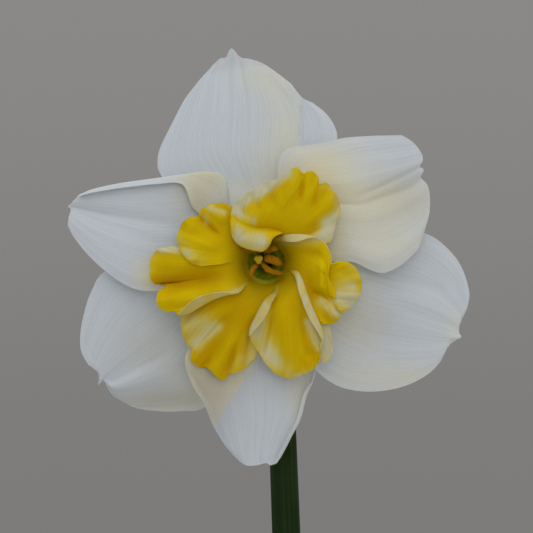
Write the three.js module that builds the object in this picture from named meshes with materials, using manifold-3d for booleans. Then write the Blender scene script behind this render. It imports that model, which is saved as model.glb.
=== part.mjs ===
// A potted split-corona daffodil: one bulb in a plain clay pot of soil, with strap leaves and one scape
// that carries a single bloom of six white tepals and a ruffled yellow and white corona.
// Millimetres, +Z up. The origin is the centre of the pot's foot. The bloom looks along -Y.

import * as THREE from "three";
import { mergeVertices } from "three/addons/utils/BufferGeometryUtils.js";
import Module from "manifold-3d";

const wasm = await Module();
wasm.setup();

// Driving dimensions.
const BLOOM_WIDTH = 93;
const BLOOM_WIDTH_PX = 402; // the same width, counted on the photograph
const THROAT_PX = { x: 266, y: 262 }; // where the bloom's axis passes on the photograph
const PX = BLOOM_WIDTH / BLOOM_WIDTH_PX;
const BLOOM = { x: -4, y: -40, z: 385 }; // the throat
const SEAT_GAP = 0.3; // clearance left between pieces that touch
const PETAL_THICKNESS = 0.7;
const SMALLEST = 0.05; // detail left out of what is fused

const POT = { height: 112, footRadius: 41, rimRadius: 61, rimHeight: 22, wall: 5, rimStep: 3.5, base: 8 };
const SOIL_TOP = 99;
const DRAIN = { count: 3, radius: 4.5, ring: 23 };
const BULB = { x: 5, y: 1, foot: 36, neckTop: 107, socketFloor: 92 };
const FAN_ANGLE = 0.75; // how far the plane of the leaf fan is turned from +X, in radians

const point = (x, y, z) => new THREE.Vector3(x, y, z);
const clamp = (t) => Math.min(1, Math.max(0, t));
const mix = (a, b, t) => a + (b - a) * t;

// 0 before a, 1 after b, and smooth between them.
function ease(a, b, t) {
  const s = clamp((t - a) / (b - a));
  return s * s * (3 - 2 * s);
}

function steps(count) {
  return Array.from({ length: count + 1 }, (_, i) => i / count);
}

// Value at t of a smooth curve through evenly spaced values.
function along(values, t) {
  const place = clamp(t) * (values.length - 1);
  const i = Math.min(Math.floor(place), values.length - 2);
  const value = (k) => values[Math.min(Math.max(k, 0), values.length - 1)];
  const [a, b, c, d] = [i - 1, i, i + 1, i + 2].map(value);
  const s = place - i;
  return b + 0.5 * s * (c - a + s * (2 * a - 5 * b + 4 * c - d + s * (3 * (b - c) + d - a)));
}

// Closed geometry from points and triangles, turned so that its faces point out.
function closed(points, triangles) {
  let volume = 0;
  for (let i = 0; i < triangles.length; i += 3) {
    const [a, b, c] = [0, 1, 2].map((k) => points[triangles[i + k]]);
    volume += a.dot(b.clone().cross(c));
  }
  if (volume < 0)
    for (let i = 0; i < triangles.length; i += 3)
      [triangles[i], triangles[i + 1]] = [triangles[i + 1], triangles[i]];
  const geometry = new THREE.BufferGeometry().setFromPoints(points);
  geometry.setIndex(triangles);
  return geometry;
}

// Body of revolution about Y from pairs of a radius and a height, listed so that its faces point out.
function turned(profile, sectors) {
  return new THREE.LatheGeometry(profile.map(([r, y]) => new THREE.Vector2(r, y)), sectors);
}

// Solid skinned over a stack of rings that have equal counts of points, with a fan over each end.
function skin(rings) {
  const count = rings[0].length;
  const points = rings.flat();
  const triangles = [];
  for (let i = 0; i + 1 < rings.length; i++)
    for (let j = 0; j < count; j++) {
      const [a, b] = [i * count + j, i * count + ((j + 1) % count)];
      triangles.push(a, b, b + count, a, b + count, a + count);
    }
  for (const row of [0, rings.length - 1]) {
    const hub = points.length;
    const middle = rings[row].reduce((sum, p) => sum.add(p), point(0, 0, 0));
    points.push(middle.divideScalar(count));
    for (let j = 0; j < count; j++) {
      const [a, b] = [row * count + j, row * count + ((j + 1) % count)];
      triangles.push(hub, ...(row ? [a, b] : [b, a]));
    }
  }
  return closed(points, triangles);
}

// Thin solid on both sides of the surface pointAt(u, w). Both faces are split into triangles alike.
function sheet(pointAt, us, ws, thicknessAt) {
  const reach = 1e-3;
  const front = [];
  const back = [];
  for (const u of us)
    for (const w of ws) {
      const du = pointAt(Math.min(1, u + reach), w).sub(pointAt(Math.max(0, u - reach), w));
      const dw = pointAt(u, Math.min(1, w + reach)).sub(pointAt(u, Math.max(0, w - reach)));
      const half = du.cross(dw).normalize().multiplyScalar(thicknessAt(u, w) / 2);
      front.push(pointAt(u, w).add(half));
      back.push(pointAt(u, w).sub(half));
    }
  const rows = us.length;
  const columns = ws.length;
  const other = front.length;
  const triangles = [];
  const border = [];
  for (let i = 0; i + 1 < rows; i++)
    for (let j = 0; j + 1 < columns; j++) {
      const a = i * columns + j;
      const [b, c, d] = [a + 1, a + columns, a + columns + 1];
      triangles.push(a, b, d, a, d, c);
      triangles.push(a + other, d + other, b + other, a + other, c + other, d + other);
    }
  for (let j = 0; j < columns; j++) border.push(j);
  for (let i = 1; i < rows; i++) border.push(i * columns + columns - 1);
  for (let j = columns - 2; j >= 0; j--) border.push((rows - 1) * columns + j);
  for (let i = rows - 2; i > 0; i--) border.push(i * columns);
  border.forEach((a, k) => {
    const b = border[(k + 1) % border.length];
    triangles.push(b, a, a + other, b, a + other, b + other);
  });
  return closed([...front, ...back], triangles);
}

// Manifold solid of a geometry, and back again.
function toSolid(geometry) {
  const bare = new THREE.BufferGeometry().setAttribute("position", geometry.getAttribute("position"));
  bare.setIndex(geometry.index);
  const merged = mergeVertices(bare, 1e-4);
  return new wasm.Manifold(
    new wasm.Mesh({
      numProp: 3,
      vertProperties: merged.attributes.position.array,
      triVerts: new Uint32Array(merged.index.array),
    }),
  );
}

function fromSolid(solid) {
  const mesh = solid.getMesh();
  const geometry = new THREE.BufferGeometry();
  geometry.setAttribute("position", new THREE.BufferAttribute(mesh.vertProperties, 3));
  geometry.setIndex(new THREE.BufferAttribute(mesh.triVerts, 1));
  return geometry;
}

const FINISH = {
  clay: { color: 0xb4623c, roughness: 0.85 },
  soil: { color: 0x2e2018, roughness: 0.95 },
  tunic: { color: 0x7a5230, roughness: 0.7 },
  leaf: { color: 0x4f7a4a, roughness: 0.5 },
  scape: { color: 0x3c5f2b, roughness: 0.45 },
  spathe: { color: 0xb79a6a, roughness: 0.8 },
  tube: { color: 0xb9c47a, roughness: 0.5 },
  tepal: { color: 0xf2f2ea, roughness: 0.55 },
  corona: { color: 0xe6b800, roughness: 0.5 },
  anther: { color: 0xb9721b, roughness: 0.8 },
  style: { color: 0xd9cf5a, roughness: 0.5 },
};

function piece(name, finish, geometry) {
  geometry.computeVertexNormals();
  const material = new THREE.MeshStandardMaterial({ metalness: 0, ...FINISH[finish] });
  const mesh = new THREE.Mesh(geometry, material);
  mesh.name = name;
  return mesh;
}

// Petals. A petal is a patch between four edges traced on the photograph: its seat at the bloom's
// middle, its clockwise side, its far end and its counterclockwise side, seen from the front.

const onBloom = ([x, y]) => new THREE.Vector2((x - THROAT_PX.x) * PX, (THROAT_PX.y - y) * PX);

// Smooth curve through points, walked at an even speed. shareOf gives how far along it a point lies.
function edge(points) {
  const curve = new THREE.SplineCurve(points);
  const last = points.length - 1;
  curve.arcLengthDivisions = 40 * last;
  const lengths = curve.getLengths();
  return {
    at: (t) => curve.getPointAt(clamp(t)),
    shareOf: (i) => lengths[40 * i] / lengths[40 * last],
  };
}

function patch(seat, cw, end, ccw) {
  const [first, last] = [onBloom(end[0]), onBloom(end[end.length - 1])];
  const sides = {
    cw: edge([seat[0], ...cw.map(onBloom), first]),
    ccw: edge([seat[seat.length - 1], ...ccw.map(onBloom), last]),
    seat: edge(seat),
    end: edge(end.map(onBloom)),
  };
  const corners = [seat[0], seat[seat.length - 1], first, last];
  const at = (u, w) => {
    const [a, b, c, d] = [sides.cw.at(u), sides.ccw.at(u), sides.seat.at(w), sides.end.at(w)];
    const blend = (k) =>
      mix(a[k], b[k], w) +
      mix(c[k], d[k], u) -
      mix(mix(corners[0][k], corners[1][k], w), mix(corners[2][k], corners[3][k], w), u);
    return new THREE.Vector2(blend("x"), blend("y"));
  };
  return { at, shareOf: sides.end.shareOf };
}

// Sum of smooth swellings [u, w, spread in u, spread in w, lift towards the viewer].
function swelling(swells, u, w) {
  return swells.reduce((sum, [u0, w0, su, sw, lift]) => {
    return sum + lift * Math.exp(-(((u - u0) / su) ** 2) - ((w - w0) / sw) ** 2);
  }, 0);
}

// Surface of a petal. A roll turns a strip of one side forward and over, and opens out flat at its ends.
function petalSurface(shape, depthAt, rolls = []) {
  const rolled = { cw: null, ccw: null };
  for (const roll of rolls) rolled[roll.side] = roll;
  const bent = (roll, u) => {
    const opening = roll.opens * ease(roll.to - 0.15, roll.to, u);
    const turn = roll.turn * ease(roll.from, roll.from + 0.25, u) * (1 - opening);
    const curve = Math.max(turn, 0.02) / roll.length;
    return { curve, reach: turn < Math.PI / 2 ? Math.sin(curve * roll.length) / curve : 1 / curve };
  };
  return (u, w) => {
    const width = shape.at(u, 0).distanceTo(shape.at(u, 1));
    const start = { cw: 0, ccw: 0 };
    const strip = { cw: 0, ccw: 0 };
    const curl = { cw: null, ccw: null };
    for (const side of ["cw", "ccw"]) {
      if (!rolled[side]) continue;
      curl[side] = bent(rolled[side], u);
      start[side] = curl[side].reach / width;
      strip[side] = rolled[side].strip;
    }
    const side = w < strip.cw ? "cw" : w > 1 - strip.ccw ? "ccw" : null;
    const inner = clamp((w - strip.cw) / (1 - strip.cw - strip.ccw));
    const share = mix(start.cw, 1 - start.ccw, inner);
    const flat = shape.at(u, share);
    const made = point(flat.x, depthAt(u, share, flat), flat.y);
    if (side) {
      const rim = side === "cw" ? 0 : 1;
      const inward = side === "cw" ? share + 0.06 : share - 0.06;
      const outward = shape.at(u, rim).sub(shape.at(u, inward)).normalize();
      const run = (side === "cw" ? 1 - w / strip.cw : 1 - (1 - w) / strip.ccw) * rolled[side].length;
      const { curve } = curl[side];
      const out = Math.sin(curve * run) / curve;
      made.add(point(outward.x * out, -(1 - Math.cos(curve * run)) / curve, outward.y * out));
    }
    return made;
  };
}

// A roll: its side, length of strip in millimetres, turn in radians, where along the petal it starts and
// ends, share of the columns, and how far it opens again at its end.
function roll(side, length, turn, from, to, strip, opens = 0) {
  return { side, length, turn, from, to, strip, opens };
}

// Columns across a petal: even, closer in the rolled strips, and one on each named share.
function columnsAcross(count, rolls, extra) {
  const [low, high] = ["cw", "ccw"].map((side) => rolls.find((r) => r.side === side)?.strip ?? 0);
  const bands = [
    ...(low ? steps(3).map((t) => t * low) : []),
    ...steps(count).map((t) => mix(low, 1 - high, t)),
    ...(high ? steps(3).map((t) => 1 - t * high) : []),
  ];
  const near = (t) => extra.some((e) => Math.abs(e - t) < 0.4 / count);
  const kept = bands.filter((t) => t <= 0 || t >= 1 || !near(t));
  return [...new Set([...kept, ...extra].map((t) => Math.round(t * 1e4) / 1e4))].sort((a, b) => a - b);
}

// Tepals.

const TEPAL_SEAT = 6.2; // distance of a tepal's foot from the bloom's axis
const TEPAL_FOOT = 70; // degrees of the collar that the foot wraps
const COLLAR = { inner: 4.5, outer: 6.9, front: -2.3, back: 1.3 }; // ring that the tepals are sunk into

// How far the whole ring of tepals lies back from its seat: its tips bow back, most at the top.
function bow(flat) {
  const r = flat.length();
  const rim = clamp((r - 10) / 36) ** 2;
  return rim * (2.6 + 1.8 * (flat.y / Math.max(r, 1)) - 0.9 * (flat.x / Math.max(r, 1)));
}

const TEPAL_RINGS = {
  outer: (u) => 0.6 + 1.5 * ease(0, 0.35, u),
  inner: (u) => -0.9 - 1.2 * ease(0, 0.3, u) + 0.6 * ease(0.7, 1, u),
};

const TEPALS = [
  {
    // The top one.
    ring: "outer",
    angle: 98,
    cw: [[300, 205], [322, 172], [335, 148], [337, 132], [329, 116], [316, 104], [303, 97]],
    end: [
      [291, 82], [277, 71], [262, 61], [250, 57], [240, 55], [231, 46], [226, 55], [219, 57],
      [208, 68], [197, 81],
    ],
    ccw: [
      [225, 215], [195, 198], [170, 184], [159, 172], [157, 160], [160, 146], [172, 121],
      [184, 98],
    ],
    point: 5,
    swells: [[0.8, 0.28, 0.5, 0.09, -0.8], [0.7, 0.12, 0.4, 0.1, 0.5], [0.8, 0.6, 0.5, 0.09, -0.5]],
    rolls: [],
  },
  {
    // Upper right.
    ring: "inner",
    angle: 38,
    cw: [
      [300, 262], [330, 262], [352, 262], [368, 269], [382, 273], [396, 268], [409, 258],
      [418, 248],
    ],
    end: [
      [424, 232], [429, 215], [430, 200], [428, 186], [421, 177], [424, 170], [420, 166],
      [423, 160], [421, 152], [413, 142], [402, 135],
    ],
    ccw: [
      [277, 225], [277, 195], [278, 170], [280, 157], [288, 148], [302, 146], [322, 143],
      [345, 138], [370, 136],
    ],
    point: 5,
    swells: [
      [0.8, 0.5, 0.45, 0.06, -0.9],
      [0.75, 0.66, 0.4, 0.08, 0.6],
      [0.45, 0.95, 0.3, 0.3, 1.3],
      [0.6, 0.1, 0.3, 0.12, 0.6],
    ],
    rolls: [],
  },
  {
    // Lower right.
    ring: "outer",
    angle: -22,
    cw: [
      [290, 300], [302, 340], [316, 370], [340, 387], [370, 392], [400, 388], [425, 377],
      [441, 362],
    ],
    end: [[448, 345], [450, 340], [460, 337], [457, 329], [463, 318]],
    ccw: [[330, 235], [380, 225], [425, 233], [447, 247], [462, 266], [470, 290], [469, 305]],
    point: 2,
    swells: [[0.7, 0.35, 0.4, 0.1, -0.5], [0.7, 0.6, 0.4, 0.1, 0.5]],
    rolls: [],
  },
  {
    // The bottom one.
    ring: "inner",
    angle: -82,
    cw: [
      [235, 300], [205, 330], [188, 350], [186, 365], [193, 385], [205, 405], [213, 425],
      [225, 445],
    ],
    end: [[236, 458], [246, 465], [257, 465], [266, 463], [271, 465], [277, 462]],
    ccw: [[300, 300], [318, 340], [314, 375], [306, 395], [300, 418], [291, 436], [284, 450]],
    point: 4,
    swells: [[0.55, 0, 0.28, 0.3, -0.9], [0.7, 0.3, 0.4, 0.07, 0.9], [0.8, 0.6, 0.4, 0.12, -0.4]],
    rolls: [roll("ccw", 2.6, 2.9, 0.45, 1, 0.1)],
  },
  {
    // Lower left.
    ring: "outer",
    angle: 218,
    cw: [[200, 262], [150, 255], [105, 271], [91, 290], [83, 313], [79, 335], [80, 352]],
    end: [[87, 365], [96, 372], [99, 376], [97, 386], [102, 380], [107, 390], [112, 398]],
    ccw: [[240, 310], [225, 370], [205, 408], [180, 413], [155, 413], [132, 409]],
    point: 3,
    swells: [[0.8, 0.55, 0.5, 0.07, -0.7], [0.75, 0.7, 0.4, 0.08, 0.6], [0.7, 0.25, 0.4, 0.12, 0.4]],
    rolls: [],
  },
  {
    // Upper left.
    ring: "inner",
    angle: 158,
    cw: [
      [232, 225], [229, 205], [226, 183], [220, 175], [205, 173], [180, 176], [150, 180],
      [120, 184], [95, 189],
    ],
    end: [[80, 194], [73, 200], [70, 204], [67, 206], [70, 209], [68, 217], [67, 226]],
    ccw: [[215, 285], [180, 288], [150, 291], [130, 287], [108, 273], [88, 255], [74, 238]],
    point: 3,
    swells: [[0.42, 0.06, 0.22, 0.2, 1.1], [0.85, 0.45, 0.4, 0.08, -0.6], [0.5, 0.9, 0.3, 0.15, 0.5]],
    rolls: [roll("cw", 3.4, 3.1, 0.22, 1, 0.12)],
  },
];

function seatArc(radius, from, to) {
  return steps(4).map((t) => {
    const turn = (mix(from, to, t) * Math.PI) / 180;
    return new THREE.Vector2(Math.cos(turn), Math.sin(turn)).multiplyScalar(radius);
  });
}

function tepal({ ring, angle, cw, end, ccw, point: tip, swells, rolls }) {
  const seat = seatArc(TEPAL_SEAT, angle - TEPAL_FOOT / 2, angle + TEPAL_FOOT / 2);
  const shape = patch(seat, cw, end, ccw);
  const depthAt = (u, w, flat) => {
    return TEPAL_RINGS[ring](u) + bow(flat) - ease(0, 0.25, u) * swelling(swells, u, w);
  };
  const tipColumns = [tip - 1, tip, tip + 1].map(shape.shareOf);
  const rows = [0, 0.1, 0.2, 0.3, 0.4, 0.5, 0.6, 0.69, 0.77, 0.84, 0.9, 0.95, 1];
  const columns = columnsAcross(8, rolls, tipColumns);
  return sheet(petalSurface(shape, depthAt, rolls), rows, columns, () => PETAL_THICKNESS);
}

// Solids joined into one body. What a fold seals off, and loose scraps, are dropped.
function fused(geometries) {
  const whole = geometries.map(toSolid).reduce((sum, part) => sum.add(part)).simplify(SMALLEST);
  const [body] = whole.decompose().sort((a, b) => b.volume() - a.volume());
  return fromSolid(body);
}

function perianth() {
  const { inner, outer, front, back } = COLLAR;
  const bevel = 0.5;
  const collar = [
    [inner, back],
    [inner, front],
    [outer - bevel, front],
    [outer, front + bevel],
    [outer, back - bevel],
    [outer - bevel, back],
    [inner, back],
  ];
  return piece("perianth", "tepal", fused([turned(collar, 30), ...TEPALS.map(tepal)]));
}

// Corona. Six ruffled lobes and two turned lips are sunk into one short cup and hold together.

const CUP = { inner: 4.85, seat: 6.2, outer: 7.4, mouth: -2.6, wall: 1.1 };
const STAGGER = 0.13; // every other lobe lies this much in front of, or behind, the cup's own face

// Depth of the corona's face at a distance from the axis: a short funnel that flares out flat.
function coronaDepth(r) {
  return CUP.mouth - 3.9 * (1 - Math.exp(-Math.max(0, r - 5) / 2.1)) + 0.03 * Math.max(0, r - 12);
}

const LOBES = [
  {
    from: 75, to: 145, lift: [0, 1.2], waves: 3.5, ruffle: 0.8, phase: 0.6,
    cw: [[285, 243], [310, 246], [328, 243]],
    end: [
      [334, 230], [335, 221], [339, 214], [339, 205], [334, 194], [328, 187], [322, 184],
      [318, 187], [317, 179], [312, 173], [307, 172], [303, 175], [299, 171], [294, 169],
      [288, 171], [282, 176], [275, 181], [267, 183], [259, 187], [251, 192], [243, 197],
      [235, 203],
    ],
    ccw: [[243, 240], [234, 228], [231, 217]],
    rolls: [],
  },
  {
    from: 145, to: 180, lift: [0, 1.5], waves: 2, ruffle: 0.8, phase: 2.4,
    cw: [[242, 238], [238, 228], [236, 218]],
    end: [
      [231, 209], [225, 205], [217, 205], [209, 207], [202, 210], [200, 216], [194, 216],
      [187, 221], [181, 230], [178, 240], [180, 250], [186, 259], [194, 266],
    ],
    ccw: [[230, 262], [218, 264], [206, 267]],
    rolls: [],
  },
  {
    from: 180, to: 228, lift: [0, 1.5], waves: 2.5, ruffle: 0.8, phase: 0.2,
    cw: [[230, 258], [210, 255], [192, 250], [178, 246]],
    end: [
      [165, 247], [157, 250], [152, 257], [151, 266], [153, 277], [156, 284], [165, 285],
      [160, 290], [157, 297], [159, 305], [166, 311], [174, 312], [182, 317],
    ],
    ccw: [[236, 293], [222, 295], [209, 300], [196, 310]],
    rolls: [roll("ccw", 2.2, 2.6, 0.15, 1, 0.1, 1)],
  },
  {
    from: 228, to: 291, lift: [0, 0], waves: 3, ruffle: 0.6, phase: 1.2,
    cw: [[238, 290], [222, 294], [205, 300], [191, 309]],
    end: [
      [182, 319], [184, 330], [188, 340], [193, 347], [190, 354], [194, 362], [201, 364],
      [207, 367], [213, 374], [220, 379], [226, 377], [231, 373], [239, 370], [247, 365],
      [254, 358], [258, 350],
    ],
    ccw: [[280, 291], [270, 304], [263, 318], [259, 334]],
    rolls: [],
  },
  {
    from: 291, to: 333, lift: [1.5, 1.7], waves: 2, ruffle: 0.7, phase: 3.6,
    cw: [[276, 291], [266, 300], [257, 314], [251, 328]],
    end: [
      [249, 340], [255, 348], [261, 356], [268, 366], [277, 374], [288, 377], [299, 376],
      [308, 372], [313, 368], [318, 363], [315, 357], [318, 351], [322, 345], [324, 338],
    ],
    ccw: [[296, 277], [301, 290], [307, 302], [314, 315], [320, 327]],
    rolls: [roll("cw", 2.2, 2.4, 0.1, 0.75, 0.1, 1), roll("ccw", 2.8, 2.9, 0.05, 1, 0.12, 0.6)],
  },
  {
    from: 333, to: 435, lift: [0, 1.5], waves: 3.2, ruffle: 0.9, phase: 2.2,
    cw: [[293, 281], [298, 294], [304, 307], [311, 318]],
    end: [
      [320, 323], [327, 324], [334, 321], [339, 316], [341, 310], [339, 305], [346, 304],
      [353, 302], [358, 295], [360, 285], [358, 275], [353, 267], [346, 262], [339, 263],
      [333, 266], [331, 260],
    ],
    ccw: [[280, 237], [292, 236], [305, 235], [316, 238], [324, 244], [329, 252]],
    rolls: [roll("ccw", 2, 2.4, 0.1, 1, 0.09, 1)],
  },
];

function lobe({ from, to, lift, waves, ruffle, phase, cw, end, ccw, rolls }, index) {
  const shape = patch(seatArc(CUP.seat, from, to), cw, end, ccw);
  const depthAt = (u, w, flat) => {
    const r = flat.length();
    const free = ease(7, 13, r);
    const wave = ruffle * ease(0.4, 1, u) * Math.sin(2 * Math.PI * waves * w + phase);
    return coronaDepth(r) - free * (mix(lift[0], lift[1], w) + wave) + (index % 2 ? STAGGER : -STAGGER);
  };
  const rows = steps(6);
  const columns = columnsAcross(Math.round(end.length * 0.75), rolls, []);
  return sheet(petalSurface(shape, depthAt, rolls), rows, columns, () => PETAL_THICKNESS);
}

// Lip of the top lobe's margin, turned down over the throat, and the pale lobe behind the lowest two.
const LIPS = [
  {
    seat: [[284, 233], [268, 228], [255, 226], [243, 221], [232, 214]],
    end: [
      [275, 238], [270, 245], [264, 250], [256, 251], [247, 248], [238, 243], [233, 236],
      [231, 228],
    ],
    cw: [[280, 235]],
    ccw: [[231, 221]],
    lift: [0, 2.2, 2.9, 2.2],
  },
  {
    seat: [[309, 296], [317, 305], [326, 312]],
    end: [[318, 352], [321, 361], [327, 361], [332, 352], [332, 342], [329, 332]],
    cw: [[306, 315], [311, 334]],
    ccw: [[328, 321]],
    lift: [0.3, 0, -0.6, -0.9],
  },
];

function lip({ seat, end, cw, ccw, lift }) {
  const shape = patch(seat.map(onBloom), cw, end, ccw);
  const depthAt = (u, w, flat) => coronaDepth(Math.max(flat.length(), 8)) - along(lift, u);
  return sheet(petalSurface(shape, depthAt), steps(4), steps(8), () => PETAL_THICKNESS);
}

// Ring that the lobes are sunk into.
function coronaCup() {
  const radii = [CUP.inner, 5.6, 6.5, CUP.outer];
  const front = radii.map((r) => [r, coronaDepth(r) - CUP.wall / 2]);
  const back = radii.toReversed().map((r) => [r, Math.min(coronaDepth(r) + CUP.wall / 2, CUP.mouth)]);
  return turned([...front, ...back, front[0]], 30);
}

function corona() {
  return piece("corona", "corona", fused([coronaCup(), ...LOBES.map(lobe), ...LIPS.map(lip)]));
}

// Tube, ovary, style and stamens, all about the bloom's axis, which is the group's own Y.

const TUBE_BACK = 22;

function floralTube() {
  const mouth = COLLAR.back + SEAT_GAP;
  const profile = [
    [0, 19],
    [1.7, 19],
    [1.8, 12],
    [2.9, 5],
    [4.5, mouth],
    [5.5, mouth],
    [4.6, 3.2],
    [3.3, 7],
    [2.5, 15],
    [2.4, TUBE_BACK],
    [0, TUBE_BACK],
  ];
  return piece("floral_tube", "tube", turned(profile, 24));
}

// Ring of points round a place, square to a direction, with two radii. squareness fills out its corners.
function ringAround(centre, direction, side, radii, count, squareness = 0) {
  const over = direction.clone().cross(side).normalize();
  const across = over.clone().cross(direction).normalize();
  const swell = (t) => Math.sign(t) * Math.abs(t) ** (1 - squareness);
  return steps(count).slice(0, -1).map((t) => {
    const turn = 2 * Math.PI * t;
    const made = centre.clone().addScaledVector(across, radii[0] * swell(Math.cos(turn)));
    return made.addScaledVector(over, radii[1] * swell(Math.sin(turn)));
  });
}

// Rod of changing radius along a curve.
function rod(points, radii, count, rows, side = point(1, 0, 0), flatten = 1) {
  const path = new THREE.CatmullRomCurve3(points);
  return skin(
    steps(rows).map((t) => {
      const r = along(radii, t);
      return ringAround(path.getPointAt(t), path.getTangentAt(t), side, [r, r * flatten], count);
    }),
  );
}

const SCAPE_TOP = point(3.3, 42, -22); // from the throat

const PEDICEL = [
  SCAPE_TOP.clone().add(point(0, 0, SEAT_GAP)),
  point(3.1, 41.8, -14),
  point(2.1, 39.3, -5.6),
  point(0.9, 34.5, -0.9),
  point(0.2, 29.5, 0),
  point(0, TUBE_BACK + SEAT_GAP, 0),
];

function ovary() {
  return piece("ovary", "scape", rod(PEDICEL, [2.2, 2, 2, 2.1, 2.6, 3.5, 3.9, 3.5, 2.5], 12, 16));
}

const STIGMA_PX = [258.6, 259.6];

function style() {
  const tip = onBloom(STIGMA_PX);
  const stem = [
    point(0, 18.6, 0),
    point(0, 9, 0),
    point(tip.x * 0.35, 2, tip.y * 0.35),
    point(tip.x * 0.8, -3, tip.y * 0.8),
    point(tip.x, -5.6, tip.y),
  ];
  return piece("style", "style", rod(stem, [0.5, 0.5, 0.5, 0.5, 0.5, 0.6, 0.92, 0.7], 9, 14));
}

// Each anther runs from near the style outwards, as traced; its filament rises along the tube's wall.
const STAMEN_RING = { radius: 1.4, back: 9 };
const ANTHERS = [
  { inner: [258, 250.5], outer: [240, 249], depth: [-4.3, -6], radius: 0.58 },
  { inner: [261.5, 248], outer: [266, 242.5], depth: [-2.4, -3.2], radius: 0.5 },
  { inner: [267, 252], outer: [279, 250], depth: [-3.6, -4.4], radius: 0.88 },
  { inner: [265, 258.5], outer: [283, 264.5], depth: [-4.2, -4.7], radius: 0.85 },
  { inner: [262, 265], outer: [283, 275], depth: [-3.8, -5], radius: 0.65 },
  { inner: [256.5, 265], outer: [251, 280], depth: [-4, -5.6], radius: 0.65 },
];

function stamen({ inner, outer, depth, radius }) {
  const [a, b] = [onBloom(inner), onBloom(outer)];
  const middle = a.clone().lerp(b, 0.4);
  const body = [point(a.x, depth[0], a.y), point(b.x, depth[1], b.y)];
  const anther = rod(body, [0.3, 0.95, 1, 1, 0.9, 0.3].map((r) => r * radius), 8, 6);
  const wall = middle.clone().normalize().multiplyScalar(STAMEN_RING.radius);
  const filament = [
    point(wall.x, STAMEN_RING.back, wall.y),
    point(wall.x * 1.3, 3, wall.y * 1.3),
    point(middle.x * 0.72, -1, middle.y * 0.72),
    point(middle.x, mix(...depth, 0.4), middle.y),
  ];
  return [anther, rod(filament, [0.36, 0.34, 0.3], 6, 7)];
}

// The filaments' feet grow together in a low ring round the style.
function stamens() {
  const ring = new THREE.TorusGeometry(STAMEN_RING.radius, 0.36, 6, 18);
  ring.rotateX(Math.PI / 2).translate(0, STAMEN_RING.back, 0);
  return piece("stamens", "anther", fused([ring, ...ANTHERS.flatMap(stamen)]));
}

// Papery spathe: a sheath that starts round the top of the scape and lies open over the bend.
const SPATHE = {
  path: [
    [3.4, 42, -25],
    [3.3, 42.2, -17],
    [2.6, 41, -6],
    [1.6, 35.5, 2.2],
    [0.6, 27, 5.6],
    [-0.6, 18.5, 9],
  ],
  radius: [4.4, 4.5, 4.9, 5.2, 4.6, 3.2, 1.6],
  wrap: [5.5, 5.1, 3.9, 3.1, 2.5, 1.9, 0.7],
};

function spathe() {
  const path = new THREE.CatmullRomCurve3(SPATHE.path.map((p) => point(...p)));
  const pointAt = (u, w) => {
    const along3 = path.getTangentAt(u);
    const outward = point(0, 1, 0).addScaledVector(along3, -along3.y);
    if (along3.y < -0.1) outward.add(point(0, 0, -2.2 * along3.y));
    outward.addScaledVector(along3, -outward.dot(along3)).normalize();
    const over = along3.clone().cross(outward);
    const turn = (w - 0.5) * along(SPATHE.wrap, u);
    const radius = along(SPATHE.radius, u);
    const made = path.getPointAt(u).addScaledVector(outward, radius * Math.cos(turn));
    return made.addScaledVector(over, radius * Math.sin(turn));
  };
  return piece("spathe", "spathe", sheet(pointAt, steps(12), steps(10), () => 0.6));
}

// Scape, from the bulb's neck to the spathe, and the leaves beside it.

const SCAPE = {
  // across and back from the pot's axis, and height
  path: [[5, 1, 92.4], [5.4, 1, 130], [5.2, 1.2, 185], [3.2, 1.6, 255], [0.9, 2, 320], [-0.7, 2, 363]],
  radii: [3.9, 3.8, 3.6, 3.5, 3.4, 3.2],
};

function scape() {
  const points = SCAPE.path.map((p) => point(...p));
  return piece("scape", "scape", rod(points, SCAPE.radii, 12, 16, point(1, 0, 0), 0.82));
}

// place: millimetres along the fan from the scape. lean and bend: radians from upright at the foot, and
// added by the tip. turn: of the leaf's own plane from the fan's. twist: radians over its length.
const LEAVES = [
  { place: -5.6, length: 226, width: 12.5, lean: 0.05, bend: 0.42, turn: 0.25, twist: 0.5 },
  { place: -8.6, length: 205, width: 13, lean: 0.1, bend: 0.85, turn: -0.2, twist: -0.35 },
  { place: -11.4, length: 168, width: 11.6, lean: 0.2, bend: 1.35, turn: 0.1, twist: 0.3 },
  { place: 5.6, length: 216, width: 12, lean: 0.06, bend: 0.5, turn: -0.3, twist: -0.6 },
  { place: 8.6, length: 232, width: 13, lean: 0.13, bend: 1.0, turn: 0.22, twist: 0.4 },
  { place: 11.4, length: 182, width: 12, lean: 0.24, bend: 1.15, turn: -0.15, twist: 0.25 },
];
const LEAF = { thickness: 1.7, tipThickness: 0.8, channel: 1.5, rows: 16, columns: 4 };

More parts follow.
